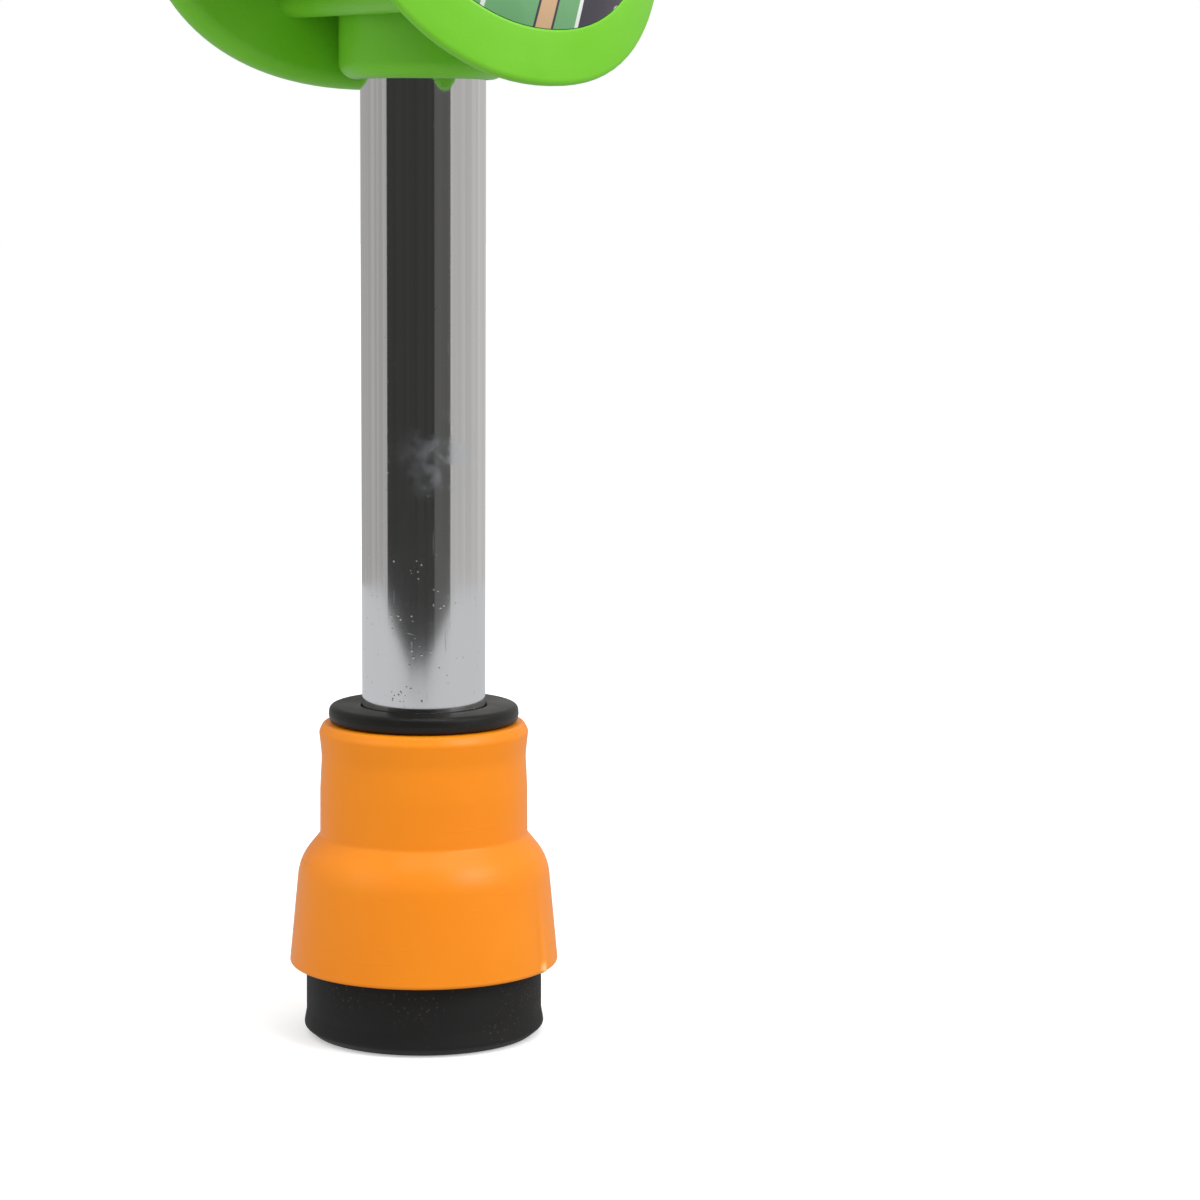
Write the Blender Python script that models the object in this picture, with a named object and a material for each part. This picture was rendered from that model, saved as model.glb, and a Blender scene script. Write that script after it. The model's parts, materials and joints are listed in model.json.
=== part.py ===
"""A child's pogo stick, standing upright on its rubber foot.

Metres, +Z up. The origin is the centre of the foot's underside, the stick's axis is Z, the feet go on
treads along X, and the front shield faces -Y. The foot, its sleeve and the chromed plunger slide up along
Z into the stem; everything else is the frame.
"""

from math import cos, pi, sin, tau

import bmesh
import bpy
from mathutils import Matrix, Vector

# ---- driving dimensions ----
GAP = 0.0003  # kept between pieces that touch
STEPS = 32  # sides of a large round piece
SMALL_STEPS = 16  # sides of a bolt or a screw
CUT = 0.002  # how far a cutter runs past the face it leaves by

# rubber foot
FOOT_BASE_R = 0.0253
FOOT_LIP_R = 0.0275
FOOT_BODY_R = 0.0269
FOOT_NECK_R = 0.0200
FOOT_SHOULDER_Z = 0.0220
FOOT_TOP_Z = 0.0360
FOOT_SOCKET_Z = 0.0120
WASHER_THICKNESS = 0.0020

# orange sleeve over the foot
SLEEVE_BOTTOM_Z = 0.0161
SLEEVE_TOP_Z = 0.0715
SLEEVE_UPPER_R = 0.0236
SLEEVE_WAIST_R = 0.0232
SLEEVE_SKIRT_R = 0.0307
SLEEVE_SHOULDER_R = 0.0291
SLEEVE_SHOULDER_Z = 0.0345
SLEEVE_NECK_Z = 0.0455
SLEEVE_WALL = 0.0028

# buffer ring on top of the sleeve
BUFFER_R = 0.0216
BUFFER_TOP_Z = 0.0755
BUFFER_ROUND = 0.0014

# chromed plunger
PLUNGER_R = 0.0140
PLUNGER_WALL = 0.0015
PLUNGER_TOP_Z = 0.3860
STROKE = 0.1380  # stops short of the shields' lower edges

# stem (outer tube)
STEM_R = 0.0166
STEM_WALL = 0.0011
STEM_BOTTOM_Z = 0.2193
STEM_TOP_Z = 0.9020
BUSHING_R = 0.0152
BUSHING_LENGTH = 0.0450

# cross bolts: one guides the plunger's slots, one carries the spring
BOLT_R = 0.0030
BOLT_HEAD_R = 0.0055
BOLT_HEAD_THICKNESS = 0.0040
GUIDE_BOLT_Z = 0.3640
SLOT_HALF_WIDTH = 0.0034

# spring
WIRE_R = 0.0019
COIL_R = 0.0123
TURNS = 20
SPRING_LENGTH = 0.2394
SPRING_STOP_THICKNESS = 0.0030
PLUG_FLANGE = 0.0040

# foot-rest moulding
HUB_R = 0.0187
HUB_BOTTOM_Z = 0.2160
HUB_TOP_Z = 0.3000
HUB_LIP_R = 0.0146
HUB_ROUND = 0.0036
SHIELD_WALL = 0.0060
REAR_SHIELD_Y = 0.0240
REAR_HALF_WIDTH = 0.0582
REAR_HALF_HEIGHT = 0.0407
REAR_POWER = 2.26
SHIELD_BOTTOM_Z = 0.2139
FRONT_SHIELD_R = 0.0600
FRONT_SHIELD_Y = -0.0500
FRONT_HALF_WIDTH = 0.0566
FRONT_LOWER_HEIGHT = 0.0800
FRONT_UPPER_HEIGHT = 0.0500
FRONT_POWER = 2.12
RIM_ROUND = 0.0035
WEB_X = 0.0265
WEB_WALL = 0.0080
WEB_BOTTOM_Z = 0.2293
WEB_FRONT = 0.0400
WEB_REAR = -0.0210
DECK_TOP_Z = 0.2640
DECK_THICKNESS = 0.0070
NECK_FRONT_Y = -0.0230
NECK_REAR_Y = 0.0205
NECK_STEP = 0.0010
TREAD_INNER_X = 0.0525
TREAD_OUTER_X = 0.1270
TREAD_HALF_DEPTH = 0.0340
TREAD_CORNER_R = 0.0120
RIB_HEIGHT = 0.0110
RIB_WALL = 0.0035
RIBS_Y = (-0.0160, 0.0160)

# label in the front shield
LABEL_MARGIN = 0.0120
LABEL_RECESS = 0.0018
LABEL_SET_BACK = 0.0004
LABEL_THICKNESS = 0.0006

# bars, pads and screws of the foot-rest
BAR_R = 0.0070
BAR_END_X = 0.1180
PAD_INNER_X = 0.0620
PAD_OUTER_X = 0.1225
PAD_HALF_DEPTH = 0.0290
PAD_THICKNESS = 0.0030
PAD_RIDGE = 0.0015
PAD_RIDGES = 7
SCREW_R = 0.0022
SCREW_HEAD_R = 0.0042
SCREW_HEAD_THICKNESS = 0.0025
SCREW_TOP_Z = 0.2610
TREAD_SCREWS_X = (0.0440, 0.1050)

# handlebar
BAR_Z = 0.9150
HANDLE_R = 0.0110
HANDLE_WALL = 0.0015
HANDLE_HALF_LENGTH = 0.1620
GRIP_R = 0.0158
GRIP_LENGTH = 0.1080
GRIP_FLANGE_R = 0.0200
COVER_SLEEVE_R = 0.0215
COVER_BAR_R = 0.0165
COVER_BOTTOM_Z = 0.8550
COVER_HALF_WIDTH = 0.0430
BOSS_R = 0.0060
BOSS_DEPTH = 0.0125
COVER_SCREWS = ((-0.0265, 0.8920), (0.0265, 0.8920), (-0.0330, 0.9320), (0.0330, 0.9320))


# ---- materials ----
def material(name, colour, roughness, metallic=0.0):
    """A Principled material, made once for each name."""
    made = bpy.data.materials.get(name)
    if made:
        return made
    made = bpy.data.materials.new(name)
    made.use_nodes = True
    made.diffuse_color = (*colour, 1.0)
    shader = made.node_tree.nodes["Principled BSDF"]
    shader.inputs["Base Color"].default_value = (*colour, 1.0)
    shader.inputs["Roughness"].default_value = roughness
    shader.inputs["Metallic"].default_value = metallic
    return made


def lime_plastic():
    return material("lime_plastic", (0.20, 0.62, 0.04), 0.35)


def orange_plastic():
    return material("orange_plastic", (0.95, 0.29, 0.01), 0.45)


def black_rubber():
    return material("black_rubber", (0.018, 0.018, 0.017), 0.80)


def chrome():
    return material("chrome", (0.80, 0.80, 0.80), 0.08, 1.0)


def stem_paint():
    return material("stem_paint", (0.02, 0.02, 0.022), 0.30)


def zinc_steel():
    return material("zinc_steel", (0.55, 0.55, 0.53), 0.35, 1.0)


def nylon():
    return material("nylon", (0.75, 0.75, 0.72), 0.50)


def label_print():
    return material("label_print", (0.15, 0.38, 0.17), 0.25)


# ---- outlines, as lists of (x, y) points ----
def arc(centre_x, centre_y, radius, start, end, steps):
    """Points on an arc from one angle to another, both ends included."""
    return [
        (
            centre_x + radius * cos(start + (end - start) * i / steps),
            centre_y + radius * sin(start + (end - start) * i / steps),
        )
        for i in range(steps + 1)
    ]


def oval(half_width, lower, upper, power, steps):
    """A superellipse about its widest line: it may be taller below than above."""
    points = []
    for i in range(steps):
        angle = tau * i / steps
        across = abs(cos(angle)) ** (2 / power) * (1 if cos(angle) >= 0 else -1)
        along = abs(sin(angle)) ** (2 / power) * (1 if sin(angle) >= 0 else -1)
        points.append((half_width * across, (upper if along >= 0 else lower) * along))
    return points


# ---- meshes ----
def add_object(name, mesh, finish, parent=None):
    """Links a mesh as a named object with one material."""
    obj = bpy.data.objects.new(name, mesh)
    bpy.context.collection.objects.link(obj)
    obj.parent = parent
    mesh.materials.clear()
    mesh.materials.append(finish)
    return obj


def closed_mesh(name, work):
    """Turns finished bmesh work into a mesh whose faces point out."""
    bmesh.ops.recalc_face_normals(work, faces=work.faces)
    mesh = bpy.data.meshes.new(name)
    work.to_mesh(mesh)
    work.free()
    mesh.shade_smooth()
    mesh.set_sharp_from_angle(angle=0.6)
    return mesh


def turned_mesh(name, outline, steps=STEPS):
    """A body turned about Z from a closed outline of (radius, height). Radius 0 is a pole."""
    work = bmesh.new()
    rings = []
    for radius, height in outline:
        if radius == 0:
            rings.append([work.verts.new((0, 0, height))])
        else:
            rings.append(
                [
                    work.verts.new((radius * cos(tau * i / steps), radius * sin(tau * i / steps), height))
                    for i in range(steps)
                ]
            )
    for ring, following in zip(rings, rings[1:] + rings[:1]):
        if len(ring) == 1 and len(following) == 1:
            continue
        for i in range(steps):
            j = (i + 1) % steps
            corners = [ring[0]] if len(ring) == 1 else [ring[i], ring[j]]
            corners += [following[0]] if len(following) == 1 else [following[j], following[i]]
            work.faces.new(corners)
    return closed_mesh(name, work)


def turned(name, outline, finish, parent=None, steps=STEPS):
    return add_object(name, turned_mesh(name, outline, steps), finish, parent)


def tube_outline(outer, inner, bottom, top):
    return [(outer, bottom), (outer, top), (inner, top), (inner, bottom)]


def rod_outline(radius, bottom, top):
    return [(0, bottom), (radius, bottom), (radius, top), (0, top)]


def prism_mesh(name, outline, low, high):
    """An outline of (x, y) points raised from one height to another."""
    work = bmesh.new()
    floor = [work.verts.new((x, y, low)) for x, y in outline]
    roof = [work.verts.new((x, y, high)) for x, y in outline]
    work.faces.new(floor[::-1])
    work.faces.new(roof)
    for i in range(len(outline)):
        j = (i + 1) % len(outline)
        work.faces.new((floor[i], floor[j], roof[j], roof[i]))
    return closed_mesh(name, work)


def along_x(obj, x=0.0, y=0.0, z=0.0):
    """Lays a body that was made along Z along X instead."""
    obj.matrix_world = Matrix.Translation((x, y, z)) @ Matrix.Rotation(pi / 2, 4, "Y")
    return obj


def along_y(obj, x=0.0, y=0.0, z=0.0):
    """Lays a body that was made along Z along -Y instead: its top faces the front."""
    obj.matrix_world = Matrix.Translation((x, y, z)) @ Matrix.Rotation(pi / 2, 4, "X")
    return obj


# ---- Booleans ----
def helper(obj):
    """Marks a cutter or a shape that another body takes in."""
    obj.hide_render = True
    obj.display_type = "WIRE"
    return obj


def boolean(obj, other, operation):
    modifier = obj.modifiers.new(f"{operation.lower()}_{other.name}", "BOOLEAN")
    modifier.operation = operation
    modifier.object = helper(other)
    modifier.solver = "EXACT"


def use_manifold_solver(obj):
    """For bodies joined from many crossing shapes, where the exact solver leaves open edges."""
    for modifier in obj.modifiers:
        modifier.solver = "MANIFOLD"


def cut(obj, other):
    boolean(obj, other, "DIFFERENCE")


def join(obj, other):
    boolean(obj, other, "UNION")


def rod_cutter(name, radius, bottom, top, steps=SMALL_STEPS):
    return turned(name, rod_outline(radius, bottom, top), nylon(), steps=steps)


def y_hole(name, radius, x, z, reach):
    """A round cutter along Y through the axis plane."""
    return along_y(rod_cutter(name, radius, -reach, reach), x=x, z=z)


# ---- sliding leg ----
def rubber_foot(parent):
    """A solid rubber tip with a socket for the tube's end and a flared lip at the ground."""
    lip = [(FOOT_BASE_R, 0.0), (FOOT_BASE_R + 0.0012, 0.0002), (FOOT_LIP_R - 0.0003, 0.0009)]
    side = [(FOOT_LIP_R, 0.0018), (FOOT_LIP_R - 0.0003, 0.0032), (FOOT_BODY_R, 0.0052)]
    neck = [
        (FOOT_BODY_R, FOOT_SHOULDER_Z - 0.0030),
        (FOOT_BODY_R - 0.0030, FOOT_SHOULDER_Z),
        (FOOT_NECK_R, FOOT_SHOULDER_Z + 0.0010),
        (FOOT_NECK_R, FOOT_TOP_Z),
    ]
    socket_r = PLUNGER_R + GAP
    socket = [(socket_r, FOOT_TOP_Z), (socket_r, FOOT_SOCKET_Z), (0, FOOT_SOCKET_Z)]
    turned("rubber_foot", [(0, 0)] + lip + side + neck + socket, black_rubber(), parent)


def foot_washer(parent):
    """A steel disc between the tube's end and the rubber."""
    bottom = FOOT_SOCKET_Z + GAP
    outline = rod_outline(PLUNGER_R - GAP, bottom, bottom + WASHER_THICKNESS)
    turned("foot_washer", outline, zinc_steel(), parent, steps=24)


def tip_shield(parent):
    """The two-step sleeve: a flared skirt over the foot, a round shoulder and a straight upper part."""
    skirt_round = 0.0012
    skirt = [(SLEEVE_SKIRT_R - skirt_round, SLEEVE_BOTTOM_Z)]
    skirt += arc(SLEEVE_SKIRT_R - skirt_round, SLEEVE_BOTTOM_Z + skirt_round, skirt_round, -pi / 3, 0, 2)
    # the shoulder is a quarter ellipse from the skirt's top up to the neck
    reach = SLEEVE_SHOULDER_R - SLEEVE_UPPER_R + 0.0006
    rise = SLEEVE_NECK_Z - SLEEVE_SHOULDER_Z
    shoulder = [
        (SLEEVE_SHOULDER_R - reach * (1 - cos(a)), SLEEVE_SHOULDER_Z + rise * sin(a))
        for a in [pi / 2 * i / 6 for i in range(6)]
    ]
    upper = [
        (SLEEVE_UPPER_R + 0.0001, SLEEVE_NECK_Z + 0.0014),
        (SLEEVE_UPPER_R + 0.0001, SLEEVE_NECK_Z + 0.0105),
        (SLEEVE_WAIST_R, SLEEVE_TOP_Z - 0.0080),
        (SLEEVE_UPPER_R, SLEEVE_TOP_Z - 0.0026),
        (SLEEVE_UPPER_R - 0.0003, SLEEVE_TOP_Z - 0.0010),
        (SLEEVE_UPPER_R - 0.0012, SLEEVE_TOP_Z),
    ]
    tube_r = PLUNGER_R + GAP
    neck_r = FOOT_NECK_R + GAP
    ceiling = FOOT_TOP_Z + GAP
    inside = [
        (tube_r, SLEEVE_TOP_Z),
        (tube_r, ceiling + 0.0030),
        (neck_r, ceiling + 0.0002),
        (neck_r, FOOT_SHOULDER_Z + 0.0040),
        (FOOT_BODY_R + 0.0006, FOOT_SHOULDER_Z + 0.0010),
        (SLEEVE_SKIRT_R - SLEEVE_WALL - 0.0002, SLEEVE_BOTTOM_Z),
    ]
    turned("tip_shield", skirt + shoulder + upper + inside, orange_plastic(), parent, steps=36)


def buffer_ring(parent):
    """The rubber washer under the shields at full stroke."""
    bottom = SLEEVE_TOP_Z + GAP
    crown = arc(BUFFER_R - BUFFER_ROUND, BUFFER_TOP_Z - BUFFER_ROUND, BUFFER_ROUND, 0, pi / 2, 3)
    inner = PLUNGER_R + GAP
    outline = [(BUFFER_R, bottom)] + crown + [(inner, BUFFER_TOP_Z), (inner, bottom)]
    turned("buffer_ring", outline, black_rubber(), parent)


def slot_cutter():
    """A long round-ended slot right through the plunger, front to back."""
    top = GUIDE_BOLT_Z
    bottom = GUIDE_BOLT_Z - STROKE
    outline = arc(0, top, SLOT_HALF_WIDTH, 0, pi, 8) + arc(0, bottom, SLOT_HALF_WIDTH, pi, tau, 8)
    reach = PLUNGER_R + CUT
    # the outline's second number becomes height once the prism is turned upright
    cutter = add_object("slot_cutter", prism_mesh("slot_cutter", outline, -reach, reach), nylon())
    cutter.matrix_world = Matrix.Rotation(pi / 2, 4, "X")
    return cutter


def plunger_tube(parent):
    bottom = FOOT_SOCKET_Z + WASHER_THICKNESS + 2 * GAP
    outline = tube_outline(PLUNGER_R, PLUNGER_R - PLUNGER_WALL, bottom, PLUNGER_TOP_Z)
    tube = turned("plunger_tube", outline, chrome(), parent, steps=48)
    cut(tube, slot_cutter())


def plunger_plug(parent):
    """The nylon piston on top of the plunger: it rides in the stem and centres the spring."""
    spigot_r = PLUNGER_R - PLUNGER_WALL - GAP
    flange_r = STEM_R - STEM_WALL - GAP
    spigot_bottom = GUIDE_BOLT_Z + BOLT_R + 0.0050
    flange_bottom = PLUNGER_TOP_Z + GAP
    flange_top = flange_bottom + PLUG_FLANGE
    pin_r = COIL_R - WIRE_R - 0.0012
    outline = [
        (0, spigot_bottom),
        (spigot_r, spigot_bottom),
        (spigot_r, flange_bottom),
        (flange_r, flange_bottom),
        (flange_r, flange_top),
        (pin_r, flange_top),
        (pin_r, flange_top + 0.0060),
        (pin_r - 0.0015, flange_top + 0.0080),
        (0, flange_top + 0.0080),
    ]
    turned("plunger_plug", outline, nylon(), parent, steps=32)


def spring_bottom_z():
    return PLUNGER_TOP_Z + GAP + PLUG_FLANGE + GAP


def spring_top_z():
    return spring_bottom_z() + SPRING_LENGTH


def main_spring():
    """A round-wire compression spring. It shortens as the plunger rises."""
    sides = 5
    per_turn = 10
    low = spring_bottom_z() + WIRE_R
    high = spring_top_z() - WIRE_R
    count = TURNS * per_turn
    work = bmesh.new()
    rings = []
    for i in range(count + 1):
        turn = tau * i / per_turn
        centre = Vector((COIL_R * cos(turn), COIL_R * sin(turn), low + (high - low) * i / count))
        outward = Vector((cos(turn), sin(turn), 0))
        ring = []
        for k in range(sides):
            around = tau * k / sides
            point = centre + outward * WIRE_R * cos(around) + Vector((0, 0, WIRE_R * sin(around)))
            ring.append(work.verts.new(point))
        rings.append(ring)
    for ring, following in zip(rings, rings[1:]):
        for k in range(sides):
            j = (k + 1) % sides
            work.faces.new((ring[k], ring[j], following[j], following[k]))
    work.faces.new(rings[0])
    work.faces.new(rings[-1])
    add_object("main_spring", closed_mesh("main_spring", work), zinc_steel())


# ---- stem and what is in it ----
def stop_bolt_z():
    return spring_top_z() + GAP + SPRING_STOP_THICKNESS + GAP + BOLT_R


def outer_tube():
    """The stem, bored for the two cross bolts."""
    outline = tube_outline(STEM_R, STEM_R - STEM_WALL, STEM_BOTTOM_Z, STEM_TOP_Z)
    tube = turned("outer_tube", outline, stem_paint(), steps=40)
    for name, height in (("guide", GUIDE_BOLT_Z), ("stop", stop_bolt_z())):
        cut(tube, y_hole(f"{name}_hole", BOLT_R + GAP, 0, height, STEM_R + CUT))


def lower_bushing():
    bottom = STEM_BOTTOM_Z + GAP
    outline = tube_outline(BUSHING_R, PLUNGER_R + GAP, bottom, bottom + BUSHING_LENGTH)
    turned("lower_bushing", outline, nylon())


def spring_stop():
    bottom = spring_top_z() + GAP
    outline = tube_outline(STEM_R - STEM_WALL - GAP, 0.0045, bottom, bottom + SPRING_STOP_THICKNESS)
    turned("spring_stop", outline, zinc_steel(), steps=32)


def cross_bolt(name, height):
    """A hexagon bolt through the stem from the front, and the nut on its far end."""
    seat = STEM_R + GAP
    nut_thickness = 0.0050
    end = seat + nut_thickness + 0.0030
    head = turned_mesh(f"{name}_bolt", [
        (0, -end),
        (BOLT_R, -end),
        (BOLT_R, seat),
        (BOLT_HEAD_R, seat),
        (BOLT_HEAD_R, seat + BOLT_HEAD_THICKNESS),
        (0, seat + BOLT_HEAD_THICKNESS),
    ], steps=12)
    along_y(add_object(f"{name}_bolt", head, zinc_steel()), z=height)
    outline = tube_outline(BOLT_HEAD_R, BOLT_R + GAP, -seat - nut_thickness, -seat)
    along_y(turned(f"{name}_nut", outline, zinc_steel(), steps=12), z=height)


# ---- foot-rest moulding ----
def shield_mesh(name, outline, middle_z, face_y, bend_r, wall, rounds):
    """A plate with a rounded rim, standing across Y and facing -Y, bowed about Z if bend_r isn't zero.

    Each loop of the plate is the outline drawn in by an inset and set back by a depth from the face. Widths
    round the bow are measured on the front shield's own face, so that bowed plates line up."""
    front_round, back_round = rounds
    shares = (0.25, 0.50, 0.75)
    rim = [
        (front_round * (1 - sin(a)), front_round * (1 - cos(a))) for a in (0, pi / 4, pi / 2)
    ]
    rim += [
        (back_round * (1 - cos(a)), wall - back_round * (1 - sin(a)))
        for a in (0, pi / 4, pi / 2)
    ]
    largest = max(x for x, _ in outline)

    def place(x, z, inset, depth):
        shrink = 1 - inset / largest
        across = x * shrink
        height = middle_z + z * shrink
        if not bend_r:
            return (across, face_y + depth, height)
        angle = across / FRONT_SHIELD_R
        radius = bend_r - depth
        return (radius * sin(angle), face_y + bend_r - radius * cos(angle), height)

    work = bmesh.new()
    rings = []
    for share in shares:
        rings.append([work.verts.new(place(x, z, largest * (1 - share), 0.0)) for x, z in outline])
    for inset, depth in rim:
        rings.append([work.verts.new(place(x, z, inset, depth)) for x, z in outline])
    for share in shares[::-1]:
        rings.append([work.verts.new(place(x, z, largest * (1 - share), wall)) for x, z in outline])
    count = len(outline)
    for ring, following in zip(rings, rings[1:]):
        for i in range(count):
            j = (i + 1) % count
            work.faces.new((ring[i], ring[j], following[j], following[i]))
    for ring, depth in ((rings[0], 0.0), (rings[-1], wall)):
        middle = work.verts.new(place(0, 0, 0, depth))
        for i in range(count):
            work.faces.new((middle, ring[i], ring[(i + 1) % count]))
    return closed_mesh(name, work)


def front_outline(margin=0.0, steps=32):
    return oval(
        FRONT_HALF_WIDTH - margin,
        FRONT_LOWER_HEIGHT - margin,
        FRONT_UPPER_HEIGHT - margin,
        FRONT_POWER,
        steps,
    )


def front_middle_z():
    return SHIELD_BOTTOM_Z + FRONT_LOWER_HEIGHT


def hub_mesh():
    """The sleeve round the stem, closed in under the stem's end down to the plunger's clearance."""
    rim = arc(HUB_R - HUB_ROUND, HUB_BOTTOM_Z + HUB_ROUND, HUB_ROUND, -pi / 2, 0, 4)
    outline = [(HUB_LIP_R, HUB_BOTTOM_Z)] + rim
    outline += [
        (HUB_R, HUB_TOP_Z),
        (STEM_R + GAP, HUB_TOP_Z),
        (STEM_R + GAP, STEM_BOTTOM_Z - GAP),
        (HUB_LIP_R, STEM_BOTTOM_Z - GAP),
    ]
    return turned_mesh("footrest_body", outline, steps=40)


def web_mesh(name, low_y, high_y):
    """A wall from shield to shield along Y, with a full round along its lower edge."""
    radius = WEB_WALL / 2
    top = DECK_TOP_Z - DECK_THICKNESS + 0.0020
    outline = arc(0, WEB_BOTTOM_Z + radius, radius, pi, tau, 6)
    outline += [(radius, top), (-radius, top)]
    return prism_mesh(name, outline, low_y, high_y)


def add_webs(body):
    """The two walls, one each side of the hub."""
    for side, x in (("left", -WEB_X), ("right", WEB_X)):
        inward = WEB_WALL / 2 if x < 0 else -WEB_WALL / 2
        web = add_object(f"web_{side}", web_mesh(f"web_{side}", WEB_REAR, WEB_FRONT), nylon())
        # made along Z: turned so that it runs from back to front
        web.matrix_world = Matrix.Translation((x + inward, 0, 0)) @ Matrix.Rotation(pi / 2, 4, "X")
        join(body, web)


def rounded_rectangle(half_length, half_depth, corner):
    points = []
    for i, (sx, sy) in enumerate(((1, 1), (-1, 1), (-1, -1), (1, -1))):
        start = i * pi / 2
        x = sx * (half_length - corner)
        y = sy * (half_depth - corner)
        points += arc(x, y, corner, start, start + pi / 2, 5)
    return points


def add_deck(body):
    """A neck between the shields, a broad tread each side of them, and the ribs below."""
    bottom = DECK_TOP_Z - DECK_THICKNESS
    neck = [
        (-TREAD_INNER_X - TREAD_CORNER_R, NECK_FRONT_Y),
        (TREAD_INNER_X + TREAD_CORNER_R, NECK_FRONT_Y),
        (TREAD_INNER_X + TREAD_CORNER_R, NECK_REAR_Y),
        (-TREAD_INNER_X - TREAD_CORNER_R, NECK_REAR_Y),
    ]
    join(body, add_object("neck", prism_mesh("neck", neck, bottom, DECK_TOP_Z - NECK_STEP), nylon()))
    half_length = (TREAD_OUTER_X - TREAD_INNER_X) / 2
    outline = rounded_rectangle(half_length, TREAD_HALF_DEPTH, TREAD_CORNER_R)
    low = bottom - RIB_HEIGHT
    for word, side in (("left", -1), ("right", 1)):
        tread = add_object(f"tread_{word}", prism_mesh(f"tread_{word}", outline, bottom, DECK_TOP_Z), nylon())
        tread.location = (side * (TREAD_INNER_X + half_length), 0, 0)
        join(body, tread)
        for number, y in enumerate(RIBS_Y):
            near = side * WEB_X
            far = side * (TREAD_OUTER_X - 0.0100)
            rib = [
                (min(near, far), y - RIB_WALL / 2),
                (max(near, far), y - RIB_WALL / 2),
                (max(near, far), y + RIB_WALL / 2),
                (min(near, far), y + RIB_WALL / 2),
            ]
            name = f"rib_{word}_{number}"
            join(body, add_object(name, prism_mesh(name, rib, low, bottom + 0.0010), nylon()))


def cut_bores(body):
    """Room for the stem, the foot bars and the tread screws, and the label's shallow recess."""
    middle_bar_z = bar_z()
    bore = along_x(rod_cutter("bar_bore", BAR_R + GAP, -0.0330, 0.0330, 24), z=middle_bar_z)
    cut(body, bore)
    for side in (-1, 1):
        for x in TREAD_SCREWS_X:
            name = f"screw_hole_{side * x:.3f}"
            top = SCREW_TOP_Z + GAP
            hole = rod_cutter(name, SCREW_R + GAP, DECK_TOP_Z - DECK_THICKNESS - CUT, top, 12)
            hole.location = (side * x, 0, 0)
            cut(body, hole)
    recess = shield_mesh(
        "label_recess",
        front_outline(LABEL_MARGIN),
        front_middle_z(),
        FRONT_SHIELD_Y - CUT,
        FRONT_SHIELD_R + CUT,
        CUT + LABEL_RECESS,
        (0.0002, 0.0002),
    )
    cut(body, add_object("label_recess", recess, nylon()))


def bar_z():
    return DECK_TOP_Z - DECK_THICKNESS - GAP - BAR_R


def footrest_body():
    """Hub, rear shield, bowed front shield, webs and foot deck, moulded in one."""
    body = add_object("footrest_body", hub_mesh(), lime_plastic())
    rear_outline = oval(REAR_HALF_WIDTH, REAR_HALF_HEIGHT, REAR_HALF_HEIGHT, REAR_POWER, 32)
    rear = shield_mesh(
        "rear_shield",
        rear_outline,
        SHIELD_BOTTOM_Z + REAR_HALF_HEIGHT,
        REAR_SHIELD_Y - SHIELD_WALL,
        0,
        SHIELD_WALL,
        (RIM_ROUND, 0.0015),
    )
    join(body, add_object("rear_shield", rear, nylon()))
    front = shield_mesh(
        "front_shield",
        front_outline(),
        front_middle_z(),
        FRONT_SHIELD_Y,
        FRONT_SHIELD_R,
        SHIELD_WALL,
        (0.0015, RIM_ROUND),
    )
    join(body, add_object("front_shield", front, nylon()))
    add_webs(body)
    add_deck(body)
    # the rear shield and the deck filled the stem's bore, so it is cut again
    cut(body, rod_cutter("stem_bore", STEM_R + GAP, STEM_BOTTOM_Z - GAP, HUB_TOP_Z + CUT, 40))
    cut_bores(body)
    use_manifold_solver(body)


def front_label():
    """A thin printed oval lying in the front shield's recess."""
    mesh = shield_mesh(
        "front_label",
        front_outline(LABEL_MARGIN + GAP),
        front_middle_z(),
        FRONT_SHIELD_Y + LABEL_SET_BACK,
        FRONT_SHIELD_R - LABEL_SET_BACK,
        LABEL_THICKNESS,
        (0.0001, 0.0001),
    )
    add_object("front_label", mesh, label_print())


def foot_bar(name, side):
    """A steel bar welded to the stem, bored for the two tread screws."""
    start = STEM_R + 2 * GAP
    bar = along_x(turned(name, rod_outline(BAR_R, start, BAR_END_X), zinc_steel(), steps=24), z=bar_z())
    if side < 0:
        bar.matrix_world = Matrix.Rotation(pi, 4, "Z") @ bar.matrix_world
    for x in TREAD_SCREWS_X:
        hole = rod_cutter(f"{name}_hole_{x:.3f}", SCREW_R + GAP, bar_z() - 0.0120, bar_z() + 0.0120, 12)
        hole.location = (side * x, 0, 0)
        cut(bar, hole)


def tread_screw(name, x):
    """A pan-head screw up through the bar into the deck."""
    head_top = bar_z() - BAR_R - GAP
    outline = [
        (0, head_top - SCREW_HEAD_THICKNESS),
        (SCREW_HEAD_R - 0.0008, head_top - SCREW_HEAD_THICKNESS),
        (SCREW_HEAD_R, head_top - SCREW_HEAD_THICKNESS + 0.0008),
        (SCREW_HEAD_R, head_top),
        (SCREW_R, head_top),
        (SCREW_R, SCREW_TOP_Z),
        (0, SCREW_TOP_Z),
    ]
    turned(name, outline, zinc_steel(), steps=12).location = (x, 0, 0)


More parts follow.
